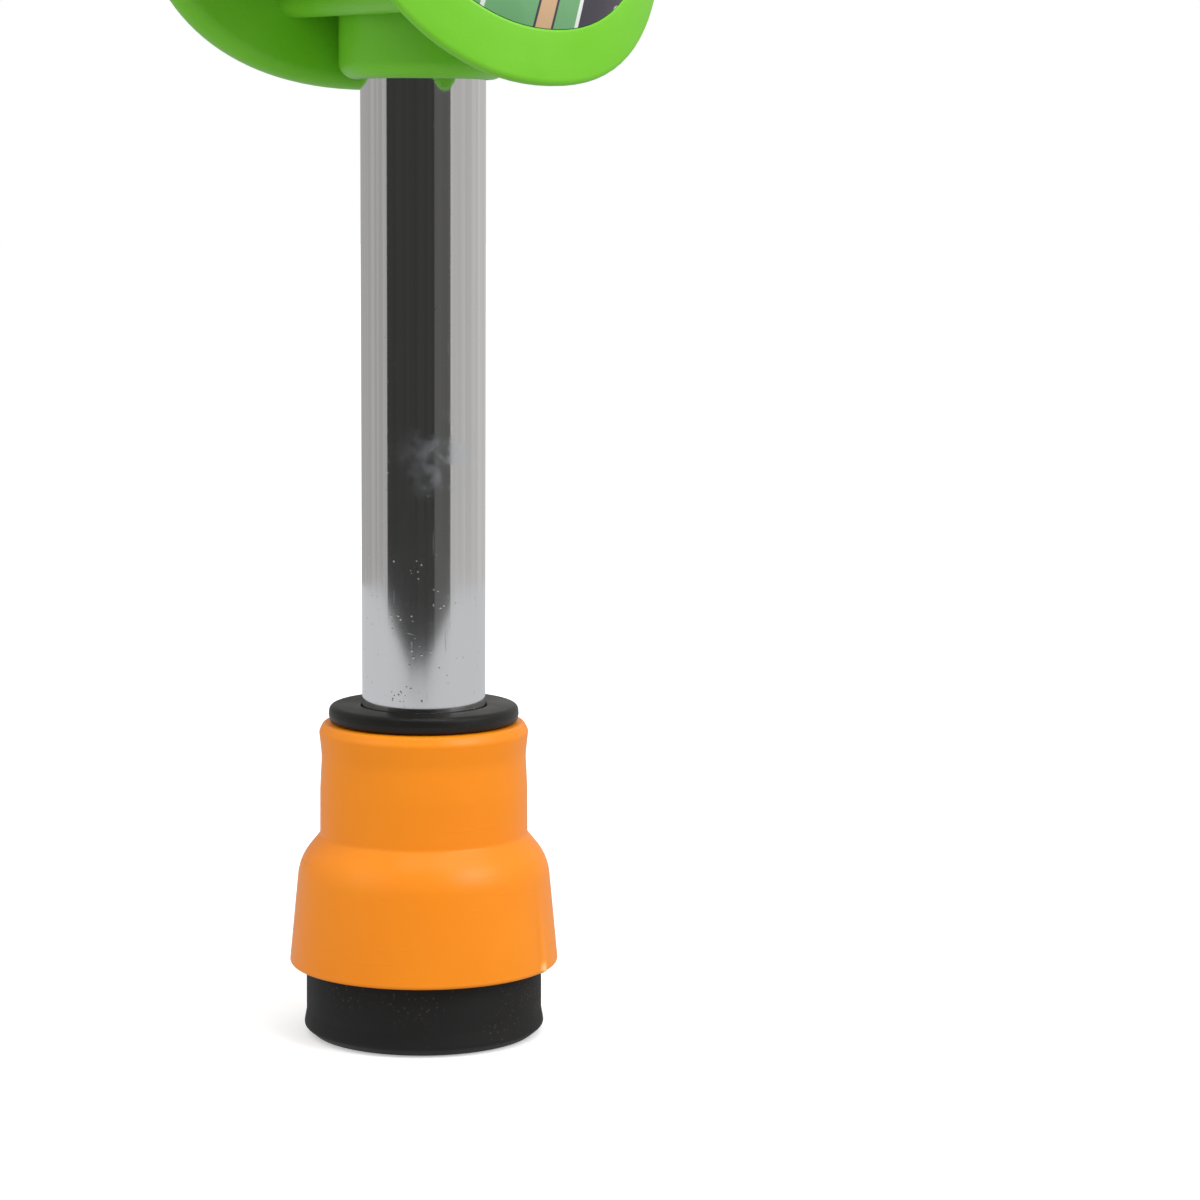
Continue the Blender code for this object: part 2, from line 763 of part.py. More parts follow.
def tread_pad(name, side):
    """A rubber pad with ridges across it, where the shoe stands."""
    low = DECK_TOP_Z + GAP
    high = low + PAD_THICKNESS
    length = PAD_OUTER_X - PAD_INNER_X
    pitch = length / PAD_RIDGES
    profile = [(PAD_INNER_X, low)]
    for i in range(PAD_RIDGES):
        start = PAD_INNER_X + pitch * i
        profile += [
            (start, high),
            (start + 0.30 * pitch, high),
            (start + 0.40 * pitch, high + PAD_RIDGE),
            (start + 0.80 * pitch, high + PAD_RIDGE),
            (start + 0.90 * pitch, high),
        ]
    profile += [(PAD_OUTER_X, high), (PAD_OUTER_X, low)]
    pad = add_object(name, prism_mesh(name, profile, -PAD_HALF_DEPTH, PAD_HALF_DEPTH), black_rubber())
    pad.matrix_world = Matrix.Rotation(pi / 2, 4, "X")
    if side < 0:
        pad.matrix_world = Matrix.Rotation(pi, 4, "Z") @ pad.matrix_world


# ---- handlebar ----
def handlebar():
    outline = tube_outline(HANDLE_R, HANDLE_R - HANDLE_WALL, -HANDLE_HALF_LENGTH, HANDLE_HALF_LENGTH)
    along_x(turned("handlebar", outline, stem_paint(), steps=24), z=BAR_Z)


def grip(name, side):
    """A rubber grip, closed over the bar's end, with a flange inboard and shallow rings along it."""
    end = HANDLE_HALF_LENGTH + 0.0035
    start = end - GRIP_LENGTH
    inner = HANDLE_R + GAP
    outline = [
        (inner, start),
        (GRIP_FLANGE_R - 0.0010, start),
        (GRIP_FLANGE_R, start + 0.0015),
        (GRIP_FLANGE_R - 0.0010, start + 0.0035),
        (GRIP_R, start + 0.0050),
    ]
    rings = 5
    ring_start = start + 0.0120
    pitch = (end - 0.0120 - ring_start) / rings
    for i in range(rings):
        place = ring_start + pitch * i
        outline += [
            (GRIP_R, place),
            (GRIP_R - 0.0010, place + 0.2 * pitch),
            (GRIP_R, place + 0.4 * pitch),
        ]
    outline += [
        (GRIP_R, end - 0.0040),
        (GRIP_R - 0.0012, end - 0.0011),
        (GRIP_R - 0.0040, end),
        (0, end),
        (0, HANDLE_HALF_LENGTH + GAP),
        (inner, HANDLE_HALF_LENGTH + GAP),
    ]
    body = along_x(turned(name, outline, orange_plastic(), steps=20), z=BAR_Z)
    if side < 0:
        body.matrix_world = Matrix.Rotation(pi, 4, "Z") @ body.matrix_world


def handle_cover(name, side):
    """Half of the T-shaped head that clamps the stem's top and the bar. side is -1 for the front half."""
    sleeve = [
        (0, COVER_BOTTOM_Z),
        (COVER_SLEEVE_R - 0.0015, COVER_BOTTOM_Z),
        (COVER_SLEEVE_R, COVER_BOTTOM_Z + 0.0015),
        (COVER_SLEEVE_R, BAR_Z),
        (0, BAR_Z),
    ]
    body = turned(name, sleeve, lime_plastic(), steps=28)
    across = [
        (0, -COVER_HALF_WIDTH),
        (COVER_BAR_R - 0.0015, -COVER_HALF_WIDTH),
        (COVER_BAR_R, -COVER_HALF_WIDTH + 0.0015),
        (COVER_BAR_R, COVER_HALF_WIDTH - 0.0015),
        (COVER_BAR_R - 0.0015, COVER_HALF_WIDTH),
        (0, COVER_HALF_WIDTH),
    ]
    join(body, along_x(turned(f"{name}_across", across, nylon(), steps=24), z=BAR_Z))
    for number, (x, z) in enumerate(COVER_SCREWS):
        boss = rod_cutter(f"{name}_boss_{number}", BOSS_R, -BOSS_DEPTH, BOSS_DEPTH)
        join(body, along_y(boss, x=x, z=z))
    cut(body, rod_cutter(f"{name}_stem", STEM_R + GAP, COVER_BOTTOM_Z - CUT, STEM_TOP_Z + GAP, 28))
    bore_reach = COVER_HALF_WIDTH + CUT
    bore = rod_cutter(f"{name}_bore", HANDLE_R + GAP, -bore_reach, bore_reach, 24)
    cut(body, along_x(bore, z=BAR_Z))
    for number, (x, z) in enumerate(COVER_SCREWS):
        cut(body, y_hole(f"{name}_screw_{number}", SCREW_R + GAP, x, z, BOSS_DEPTH + CUT))
    # the half-space beyond the split, less a hair, is taken away
    block = rounded_rectangle(0.0700, 0.0300, 0.0050)
    away = add_object(f"{name}_split", prism_mesh(f"{name}_split", block, 0.8400, 0.9500), nylon())
    away.location = (0, -side * (0.0300 - GAP / 2), 0)
    cut(body, away)
    use_manifold_solver(body)


def cover_screw(name, x, z):
    """A pan-head screw through the front half into the back half."""
    seat = BOSS_DEPTH + GAP
    outline = [
        (0, -0.0100),
        (SCREW_R, -0.0100),
        (SCREW_R, seat),
        (SCREW_HEAD_R, seat),
        (SCREW_HEAD_R, seat + SCREW_HEAD_THICKNESS - 0.0008),
        (SCREW_HEAD_R - 0.0008, seat + SCREW_HEAD_THICKNESS),
        (0, seat + SCREW_HEAD_THICKNESS),
    ]
    along_y(turned(name, outline, zinc_steel(), steps=12), x=x, z=z)


# ---- the whole stick ----
def clear_scene():
    for obj in list(bpy.data.objects):
        bpy.data.objects.remove(obj, do_unlink=True)


def sliding_leg():
    axis = bpy.data.objects.new("plunger_axis", None)
    bpy.context.collection.objects.link(axis)
    rubber_foot(axis)
    foot_washer(axis)
    tip_shield(axis)
    buffer_ring(axis)
    plunger_tube(axis)
    plunger_plug(axis)


def frame():
    main_spring()
    outer_tube()
    lower_bushing()
    spring_stop()
    cross_bolt("guide", GUIDE_BOLT_Z)
    cross_bolt("stop", stop_bolt_z())
    footrest_body()
    front_label()
    for word, side in (("left", -1), ("right", 1)):
        foot_bar(f"foot_bar_{word}", side)
        tread_pad(f"tread_pad_{word}", side)
        for number, x in enumerate(TREAD_SCREWS_X, 1):
            tread_screw(f"tread_screw_{word}_{number}", side * x)


def handle():
    handlebar()
    for word, side in (("left", -1), ("right", 1)):
        grip(f"grip_{word}", side)
    for word, side in (("front", -1), ("back", 1)):
        handle_cover(f"handle_cover_{word}", side)
    for number, (x, z) in enumerate(COVER_SCREWS, 1):
        cover_screw(f"cover_screw_{number}", x, z)


clear_scene()
sliding_leg()
frame()
handle()
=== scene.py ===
# The looks of a child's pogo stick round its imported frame: finer meshes, materials, light and camera.
# Metres, +Z up, the stick's axis on Z, the front shield facing -Y. The sliding leg rides on "plunger",
# everything else on "frame".

import json
from math import atan2, cos, pi, radians, sin, tan, tau

import bmesh
import bpy
from mathutils import Matrix, Vector


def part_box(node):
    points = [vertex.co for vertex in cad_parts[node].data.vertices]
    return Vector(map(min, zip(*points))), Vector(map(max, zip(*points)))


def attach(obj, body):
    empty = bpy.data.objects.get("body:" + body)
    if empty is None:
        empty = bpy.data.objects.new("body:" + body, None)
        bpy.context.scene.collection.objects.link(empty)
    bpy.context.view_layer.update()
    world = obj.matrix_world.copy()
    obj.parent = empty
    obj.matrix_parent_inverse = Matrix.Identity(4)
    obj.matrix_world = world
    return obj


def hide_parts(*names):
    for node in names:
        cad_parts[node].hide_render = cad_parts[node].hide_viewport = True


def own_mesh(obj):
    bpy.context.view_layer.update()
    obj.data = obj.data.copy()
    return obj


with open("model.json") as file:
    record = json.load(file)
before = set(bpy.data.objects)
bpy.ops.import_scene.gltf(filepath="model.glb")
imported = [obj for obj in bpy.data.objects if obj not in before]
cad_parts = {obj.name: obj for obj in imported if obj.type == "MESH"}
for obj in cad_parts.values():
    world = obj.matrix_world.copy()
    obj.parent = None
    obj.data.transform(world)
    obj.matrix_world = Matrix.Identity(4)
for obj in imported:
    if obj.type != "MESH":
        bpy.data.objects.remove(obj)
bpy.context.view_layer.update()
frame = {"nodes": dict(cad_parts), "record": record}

# ---- sizes that the frame gives ----
FOOT_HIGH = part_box("rubber_foot")[1]
SLEEVE_LOW, SLEEVE_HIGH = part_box("tip_shield")
RING_LOW, RING_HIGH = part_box("buffer_ring")
PLUNGER_LOW, PLUNGER_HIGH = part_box("plunger_tube")
STEM_LOW, STEM_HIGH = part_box("outer_tube")
BODY_LOW, BODY_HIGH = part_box("footrest_body")
BAR_LOW, BAR_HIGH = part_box("handlebar")
PAD_LOW, PAD_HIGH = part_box("tread_pad_right")
GRIP_LOW, GRIP_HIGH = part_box("grip_right")
COVER_LOW, COVER_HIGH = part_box("handle_cover_front")
FOOT_BAR_LOW, FOOT_BAR_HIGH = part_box("foot_bar_right")
GUIDE_LOW, GUIDE_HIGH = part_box("guide_bolt")
STOP_LOW, STOP_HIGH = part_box("stop_bolt")
SPRING_LOW, SPRING_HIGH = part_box("main_spring")
SCREW_LOW, SCREW_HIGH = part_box("tread_screw_right_1")
OUTER_SCREW_LOW, OUTER_SCREW_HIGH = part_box("tread_screw_right_2")

# ---- sizes that the moulding shares with its CAD solid ----
GAP = 0.0003
PLUNGER_R = PLUNGER_HIGH.x
PLUNGER_WALL = 0.0015
STEM_R = STEM_HIGH.x
STEM_WALL = 0.0011
SLOT_HALF_WIDTH = 0.0034
STROKE = frame["record"]["behaviour"]["joints"][0]["range_m"][1]
WIRE_R = 0.0019
COIL_R = 0.0123
COIL_TURNS = 20
BOLT_R = 0.0030
BOLT_HEAD_R = 0.0055
BOLT_HEAD_THICKNESS = 0.0040
NUT_THICKNESS = 0.0050
SHIELD_WALL = 0.0060
SHIELD_BOTTOM_Z = BODY_LOW.z
REAR_SHIELD_Y = 0.0180
REAR_SIZE = (0.0582, 0.0407, 0.0407, 2.26)
FRONT_SHIELD_Y = -0.0500
FRONT_SHIELD_R = 0.0600
FRONT_SIZE = (0.0566, 0.0800, 0.0500, 2.12)
BACK_ROUND = 0.0015
RIM_ROUND = 0.0035
LABEL_MARGIN = 0.0120
LABEL_SET_BACK = 0.00015
LABEL_THICKNESS = 0.0006
HUB_R = 0.0187
HUB_LIP_R = 0.0146
HUB_BOTTOM_Z = 0.2160
HUB_TOP_Z = 0.3000
WEB_X = 0.0225
WEB_HALF = 0.0040
WEB_BOTTOM_Z = 0.2293
WEB_FRONT_Y = -0.0420
WEB_REAR_Y = 0.0210
DECK_TOP_Z = PAD_LOW.z - GAP
DECK_THICKNESS = 0.0070
RIB_HEIGHT = 0.0110
RIB_WALL = 0.0035
RIB_Y = 0.0160
TREAD_INNER_X = 0.0525
TREAD_HALF_DEPTH = 0.0340
TREAD_CORNER_R = 0.0120
NECK_FRONT_Y = -0.0230
NECK_REAR_Y = 0.0205
PAD_RIDGES = 7
PAD_RIDGE = 0.0015
SCREW_R = 0.0022
SCREW_HEAD_R = 0.0042
SCREW_HEAD_THICKNESS = 0.0025
BAR_Z = (BAR_LOW.z + BAR_HIGH.z) / 2
BAR_R = (BAR_HIGH.z - BAR_LOW.z) / 2
BAR_WALL = 0.0015
FOOT_BAR_R = (FOOT_BAR_HIGH.z - FOOT_BAR_LOW.z) / 2
FOOT_BAR_Z = (FOOT_BAR_LOW.z + FOOT_BAR_HIGH.z) / 2
GRIP_R = 0.0158
COVER_SLEEVE_R = 0.0215
COVER_BAR_R = 0.0165
COVER_HALF_WIDTH = COVER_HIGH.x
BOSS_R = 0.0060
BOSS_DEPTH = 0.0125
COVER_SCREWS = ((-0.0265, 0.8920), (0.0265, 0.8920), (-0.0330, 0.9320), (0.0330, 0.9320))
COVER_CUT_Z = (0.84, 0.95)
COVER_CUT_HALF_WIDTH = 0.07
COVER_CUT_HALF_DEPTH = 0.0300

# ---- how finely meshes are made ----
ROUND_STEPS = 128
FINE_STEPS = 192
BAR_STEPS = 96
ROD_STEPS = 48
SPRING_STEPS_PER_TURN = 32
SPRING_STEPS_AROUND = 12
SHARP_ANGLE = radians(38)
FACE_SHARES = (0.10, 0.22, 0.34, 0.46, 0.58, 0.70, 0.82, 0.92)
FACE_MARGIN = 0.0080

# where the sleeve's rim has a torn scrap of moulding flash
FLASH_PLACE = Vector((0.0144, -0.0271, SLEEVE_LOW.z + 0.0008))
FLASH_REACH = 0.0024
# where a hand has left a smear on the chrome, which also carries a painted bluish sheen in the colour
SMEAR_AND_SHEEN_PLACE = (-0.0040, -0.0134, 0.1330)
SMEAR_AND_SHEEN_REACH = 0.0150


# ---- outlines, as closed lists of (across, up) points ----
def arc(x, y, radius, start, end, steps):
    angles = [start + (end - start) * i / steps for i in range(steps + 1)]
    return [(x + radius * cos(a), y + radius * sin(a)) for a in angles]


def rounded(points, steps=6):
    """Rounds each corner of a closed outline that is given as (across, up, radius)."""
    made = []
    for i, point in enumerate(points):
        corner = Vector(point[:2])
        if len(point) < 3:
            made.append(tuple(corner))
            continue
        back = (Vector(points[i - 1][:2]) - corner).normalized()
        ahead = (Vector(points[(i + 1) % len(points)][:2]) - corner).normalized()
        half = back.angle(ahead) / 2
        centre = corner + (back + ahead).normalized() * point[2] / sin(half)
        first = corner + back * point[2] / tan(half) - centre
        last = corner + ahead * point[2] / tan(half) - centre
        start = atan2(first.y, first.x)
        turn = (atan2(last.y, last.x) - start + pi) % tau - pi
        made += arc(centre.x, centre.y, point[2], start, start + turn, steps)
    return made


def oval(half_width, lower, upper, power, steps=120):
    """A superellipse about its widest line, taller below than above if lower is more than upper."""
    points = []
    for i in range(steps):
        c, s = cos(tau * i / steps), sin(tau * i / steps)
        across = abs(c) ** (2 / power) * (1 if c >= 0 else -1)
        along = abs(s) ** (2 / power) * (1 if s >= 0 else -1)
        points.append((half_width * across, (upper if along >= 0 else lower) * along))
    return points


# ---- meshes ----
def lathe(outline, steps=ROUND_STEPS):
    """A body turned about Z from a closed outline of (radius, height). Radius 0 is a pole."""
    work = bmesh.new()
    rings = []
    for radius, height in outline:
        angles = [tau * i / steps for i in range(1 if radius == 0 else steps)]
        rings.append([work.verts.new((radius * cos(a), radius * sin(a), height)) for a in angles])
    for ring, following in zip(rings, rings[1:] + rings[:1]):
        if len(ring) == 1 and len(following) == 1:
            continue
        for i in range(steps):
            j = (i + 1) % steps
            corners = [ring[0]] if len(ring) == 1 else [ring[i], ring[j]]
            corners += [following[0]] if len(following) == 1 else [following[j], following[i]]
            work.faces.new(corners)
    return work


def prism(outline, low, high, edge=0.0):
    """An outline of (x, y) raised from one height to another, its edges rounded by edge."""
    work = bmesh.new()
    floor = [work.verts.new((x, y, low)) for x, y in outline]
    roof = [work.verts.new((x, y, high)) for x, y in outline]
    work.faces.new(floor[::-1])
    work.faces.new(roof)
    for i in range(len(outline)):
        j = (i + 1) % len(outline)
        work.faces.new((floor[i], floor[j], roof[j], roof[i]))
    if edge:
        sharp = [e for e in work.edges if e.calc_face_angle(0) > radians(40)]
        bmesh.ops.bevel(work, geom=sharp, offset=edge, segments=3, profile=0.5, affect="EDGES")
    return work


def plate(size, loops, middle_z, face_y, bend_r=0.0):
    """A plate standing across Y, bowed about Z if bend_r isn't 0.

    Each loop is (margin, share, depth): the outline drawn in by a margin, shrunk to a share, set back from
    the face by a depth."""
    work = bmesh.new()

    def place(x, z, depth):
        if not bend_r:
            return (x, face_y + depth, middle_z + z)
        radius = bend_r - depth
        angle = x / FRONT_SHIELD_R
        return (radius * sin(angle), face_y + bend_r - radius * cos(angle), middle_z + z)

    half, lower, upper, power = size
    rings = []
    for margin, share, depth in loops:
        outline = oval(half - margin, lower - margin, upper - margin, power)
        rings.append([work.verts.new(place(x * share, z * share, depth)) for x, z in outline])
    for ring, following in zip(rings, rings[1:]):
        for i in range(len(ring)):
            j = (i + 1) % len(ring)
            work.faces.new((ring[i], ring[j], following[j], following[i]))
    for ring, depth in ((rings[0], loops[0][2]), (rings[-1], loops[-1][2])):
        middle = work.verts.new(place(0, 0, depth))
        for i in range(len(ring)):
            work.faces.new((middle, ring[i], ring[(i + 1) % len(ring)]))
    return work


def face_loops(margin, depth):
    """Loops from a plate's middle out to a margin."""
    return [(margin, share, depth) for share in FACE_SHARES]


def rim_loops(front_round, back_round, wall, steps=6):
    """Loops round a plate's edge, from its face to its back."""
    turns = [pi / 2 * i / steps for i in range(steps + 1)]
    front = [(front_round * (1 - sin(a)), 1, front_round * (1 - cos(a))) for a in turns]
    back = [(back_round * (1 - cos(a)), 1, wall - back_round * (1 - sin(a))) for a in turns]
    return front + back


def solid(name, work, turn=None):
    """Ends the mesh work: faces out, placed by a matrix, smooth but for its sharp edges."""
    bmesh.ops.recalc_face_normals(work, faces=work.faces)
    mesh = bpy.data.meshes.new(name)
    work.to_mesh(mesh)
    work.free()
    if turn:
        mesh.transform(turn)
    obj = bpy.data.objects.new(name, mesh)
    bpy.context.collection.objects.link(obj)
    soften(obj)
    return obj


def soften(obj):
    obj.data.shade_smooth()
    obj.data.set_sharp_from_angle(angle=SHARP_ANGLE)


def combine(body, others, operation):
    """Joins other solids to a body, or cuts them from it, and applies the result."""
    for other in others:
        modifier = body.modifiers.new(other.name, "BOOLEAN")
        modifier.operation = operation
        modifier.object = other
        modifier.solver = "MANIFOLD"
    shown = body.evaluated_get(bpy.context.evaluated_depsgraph_get())
    made = bpy.data.meshes.new_from_object(shown)
    body.modifiers.clear()
    body.data = made
    for other in others:
        bpy.data.objects.remove(other, do_unlink=True)
    soften(body)
    return body


def lying_x(z, side=1):
    """Lays what was made along Z along X, or along -X where side is -1."""
    return Matrix.Translation((0, 0, z)) @ Matrix.Rotation(side * pi / 2, 4, "Y")


def lying_y(z, x=0.0):
    """Lays what was made along Z along Y, its top to the front."""
    return Matrix.Translation((x, 0, z)) @ Matrix.Rotation(pi / 2, 4, "X")


def rod(name, radius, low, high, turn=None, steps=ROD_STEPS):
    return solid(name, lathe([(0, low), (radius, low), (radius, high), (0, high)], steps), turn)


def piece(obj, body, finish, slot, *nodes):
    """Dresses an object, hides the CAD nodes that it stands for and lets it ride on a body."""
    obj.data.materials.clear()
    obj.data.materials.append(finish)
    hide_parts(*nodes)
    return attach(obj, body)


# ---- materials ----
class Finish:
    """One Principled material, built node by node in the object's own metres."""

    def __init__(self, name, **sockets):
        self.material = bpy.data.materials.new(name)
        self.material.use_nodes = True
        self.tree = self.material.node_tree
        self.shader = self.tree.nodes["Principled BSDF"]
        for socket, value in sockets.items():
            self.shader.inputs[socket.replace("_", " ")].default_value = value
        self.place = self.tree.nodes.new("ShaderNodeTexCoord").outputs["Object"]
        self.normal = None

    def node(self, kind, settings=(), **inputs):
        made = self.tree.nodes.new(kind)
        for key, value in dict(settings).items():
            setattr(made, key, value)
        for key, value in inputs.items():
            self.feed(made.inputs[key.replace("_", " ")], value)
        return made

    def feed(self, socket, value):
        if isinstance(value, bpy.types.NodeSocket):
            self.tree.links.new(value, socket)
        else:
            socket.default_value = value

    def stretched(self, x, y, z):
        return self.node("ShaderNodeMapping", Vector=self.place, Scale=(x, y, z)).outputs["Vector"]

    def noise(self, scale, detail=3.0, place=None):
        made = self.node("ShaderNodeTexNoise", Vector=place or self.place, Scale=scale, Detail=detail)
        return made.outputs["Fac"]

    def step(self, value, low, high, to_low=0.0, to_high=1.0):
        """Goes smoothly from one number to another as a value crosses a range."""
        made = self.node("ShaderNodeMapRange", {"interpolation_type": "SMOOTHSTEP"}, Value=value)
        ends = {"From Min": low, "From Max": high, "To Min": to_low, "To Max": to_high}
        for socket, number in ends.items():
            made.inputs[socket].default_value = number
        return made.outputs["Result"]

    def math(self, operation, first, second=0.0):
        made = self.node("ShaderNodeMath", {"operation": operation})
        self.feed(made.inputs[0], first)
        self.feed(made.inputs[1], second)
        return made.outputs["Value"]

    def mix(self, share, first, second):
        made = self.node("ShaderNodeMix", {"data_type": "RGBA"})
        self.feed(made.inputs["Factor"], share)
        for socket, colour in ((made.inputs[6], first), (made.inputs[7], second)):
            self.feed(socket, (*colour, 1.0) if isinstance(colour, tuple) else colour)
        return made.outputs[2]

    def near(self, place, reach):
        """1 at a place, falling to 0 at a distance from it."""
        away = self.node("ShaderNodeVectorMath", {"operation": "DISTANCE"})
        self.feed(away.inputs[0], self.place)
        away.inputs[1].default_value = place
        return self.step(away.outputs["Value"], 0.0, reach, 1.0, 0.0)

    def height(self, axis="Z"):
        return self.node("ShaderNodeSeparateXYZ", Vector=self.place).outputs[axis]

    def colour(self, value):
        self.feed(self.shader.inputs["Base Color"], value)

    def roughness(self, value):
        self.feed(self.shader.inputs["Roughness"], value)

    def bump(self, value, distance):
        """Lays one more relief over those already there, distance metres deep."""
        made = self.node("ShaderNodeBump", Height=value, Distance=distance, Strength=1.0)
        if self.normal:
            self.tree.links.new(self.normal, made.inputs["Normal"])
        self.normal = made.outputs["Normal"]
        self.feed(self.shader.inputs["Normal"], self.normal)


def moulded_plastic(name, light, deep, gloss):
    """Moulded plastic: faint cloudiness in the colour, fine orange peel, a few handling marks."""
    made = Finish(
        name, IOR=1.49, Specular_IOR_Level=0.36, Subsurface_Weight=0.05, Subsurface_Scale=0.004,
    )
    clouds = made.noise(28.0, 4.0)
    scuffs = made.step(made.noise(60.0, 6.0, made.stretched(1.0, 1.0, 9.0)), 0.66, 0.74)
    made.colour(made.mix(made.step(clouds, 0.35, 0.65), deep, light))
    even = made.step(clouds, 0.3, 0.7, gloss, gloss + 0.06)
    made.roughness(made.math("ADD", even, made.math("MULTIPLY", scuffs, 0.14)))
    made.bump(made.noise(1400.0, 2.0), 0.00003)
    made.bump(scuffs, 0.00002)
    return made


def lime():
    light, deep = (0.200, 0.630, 0.030), (0.175, 0.595, 0.018)
    return moulded_plastic("lime_moulding", light, deep, 0.33).material


def orange():
    """The sleeve's plastic, paler and rougher where its flash is torn."""
    light, deep = (0.965, 0.282, 0.001), (0.935, 0.262, 0.001)
    made = moulded_plastic("orange_moulding", light, deep, 0.36)
    torn = made.near(FLASH_PLACE, FLASH_REACH)
    before = made.shader.inputs["Base Color"].links[0].from_socket
    made.colour(made.mix(torn, before, (1.0, 0.62, 0.24)))
    made.bump(made.math("MULTIPLY", torn, made.noise(1800.0, 5.0)), 0.0004)
    return made.material


def grip_rubber():
    made = Finish("grip_rubber", IOR=1.50)
    clouds = made.noise(40.0, 4.0)
    made.colour(made.mix(made.step(clouds, 0.3, 0.7), (0.80, 0.215, 0.010), (0.92, 0.265, 0.012)))
    made.roughness(made.step(clouds, 0.3, 0.7, 0.52, 0.66))
    cells = made.node("ShaderNodeTexVoronoi", Vector=made.place, Scale=850.0).outputs["Distance"]
    made.bump(cells, 0.00012)
    return made.material


def dusty_rubber(name, gloss, dust, grain):
    """Black rubber: a dull skin with a little brown dust lying in it."""
    made = Finish(name, IOR=1.40)
    specks = made.node("ShaderNodeTexVoronoi", Vector=made.place, Scale=950.0).outputs["Distance"]
    patches = made.step(made.noise(60.0, 5.0), 0.40, 0.70)
    dots = made.math("MULTIPLY", made.step(specks, 0.12, 0.30, 1.0, 0.0), patches)
    film = made.math("MULTIPLY", made.step(made.noise(35.0, 6.0), 0.42, 0.75), 0.06)
    dirt = made.math("MULTIPLY", made.math("MAXIMUM", dots, film), dust)
    made.colour(made.mix(dirt, (0.0085, 0.0085, 0.0080), (0.070, 0.048, 0.035)))
    made.roughness(made.step(made.noise(55.0, 5.0), 0.3, 0.7, gloss - 0.05, gloss + 0.08))
    made.bump(made.noise(900.0, 4.0), grain)
    return made.material


def chrome():
    """Bright plating with hairline scratches, pits near the foot and one smear, rougher, with a painted
    bluish sheen in its colour.
    """
    made = Finish("chrome_plate", Metallic=1.0)
    hairlines = made.step(made.noise(150.0, 4.0, made.stretched(7.0, 7.0, 0.5)), 0.64, 0.72)
    nicks = made.step(made.noise(330.0, 3.0, made.stretched(1.0, 1.0, 3.0)), 0.70, 0.78)
    scratches = made.math("MAXIMUM", hairlines, nicks)
    low = made.step(made.height(), RING_HIGH.z, RING_HIGH.z + 0.070, 1.0, 0.16)
    pits = made.node("ShaderNodeTexVoronoi", Vector=made.place, Scale=780.0).outputs["Distance"]
    chosen = made.step(made.noise(240.0, 2.0), 0.50, 0.60)
    pits = made.math("MULTIPLY", made.step(pits, 0.08, 0.22, 1.0, 0.0), chosen)
    pits = made.math("MULTIPLY", pits, low)
    wisps = made.step(made.noise(160.0, 6.0), 0.36, 0.62)
    smear_and_sheen = made.math("MULTIPLY", made.near(SMEAR_AND_SHEEN_PLACE, SMEAR_AND_SHEEN_REACH), wisps)
    rough = made.math("ADD", made.math("MULTIPLY", scratches, 0.07), made.math("MULTIPLY", smear_and_sheen, 0.24))
    rough = made.math("ADD", rough, made.math("MULTIPLY", pits, 0.35))
    rough = made.math("ADD", rough, made.math("MULTIPLY", low, 0.03))
    made.roughness(made.math("ADD", rough, made.step(made.noise(30.0, 3.0), 0.3, 0.7, 0.045, 0.075)))
    # painted sheen: the smear tints the plating's colour bluish; only its added roughness is the real smear
    tint = made.mix(made.math("MULTIPLY", smear_and_sheen, 0.4), (0.86, 0.86, 0.87), (0.70, 0.76, 0.86))
    made.colour(made.mix(pits, tint, (0.62, 0.60, 0.57)))
    made.bump(scratches, 0.000003)
    made.bump(pits, 0.00002)
    return made.material


def stem_paint():
    made = Finish("stem_powder_coat", IOR=1.5, Coat_Weight=0.25, Coat_Roughness=0.2)
    clouds = made.noise(30.0, 4.0)
    made.colour(made.mix(made.step(clouds, 0.3, 0.7), (0.018, 0.018, 0.020), (0.028, 0.028, 0.030)))
    made.roughness(made.step(clouds, 0.3, 0.7, 0.34, 0.44))
    made.bump(made.noise(700.0, 3.0), 0.00006)
    return made.material


def zinc():
    made = Finish("zinc_plate", Metallic=1.0)
    clouds = made.noise(120.0, 5.0)
    made.colour(made.mix(made.step(clouds, 0.3, 0.7), (0.50, 0.50, 0.49), (0.66, 0.66, 0.64)))
    made.roughness(made.step(clouds, 0.3, 0.7, 0.24, 0.40))
    made.bump(made.noise(500.0, 3.0, made.stretched(4.0, 4.0, 0.6)), 0.00002)
    return made.material


def spring_steel():
    made = Finish("spring_steel", Metallic=1.0)
    clouds = made.noise(90.0, 4.0)
    made.colour(made.mix(made.step(clouds, 0.3, 0.7), (0.24, 0.24, 0.25), (0.38, 0.38, 0.38)))
    made.roughness(made.step(clouds, 0.3, 0.7, 0.28, 0.42))
    return made.material


def nylon():
    made = Finish("natural_nylon", IOR=1.53, Subsurface_Weight=0.15, Subsurface_Scale=0.003)
    clouds = made.noise(60.0, 4.0)
    made.colour(made.mix(made.step(clouds, 0.3, 0.7), (0.70, 0.69, 0.64), (0.80, 0.79, 0.75)))
    made.roughness(made.step(clouds, 0.3, 0.7, 0.42, 0.54))
    made.bump(made.noise(900.0, 2.0), 0.00003)
    return made.material


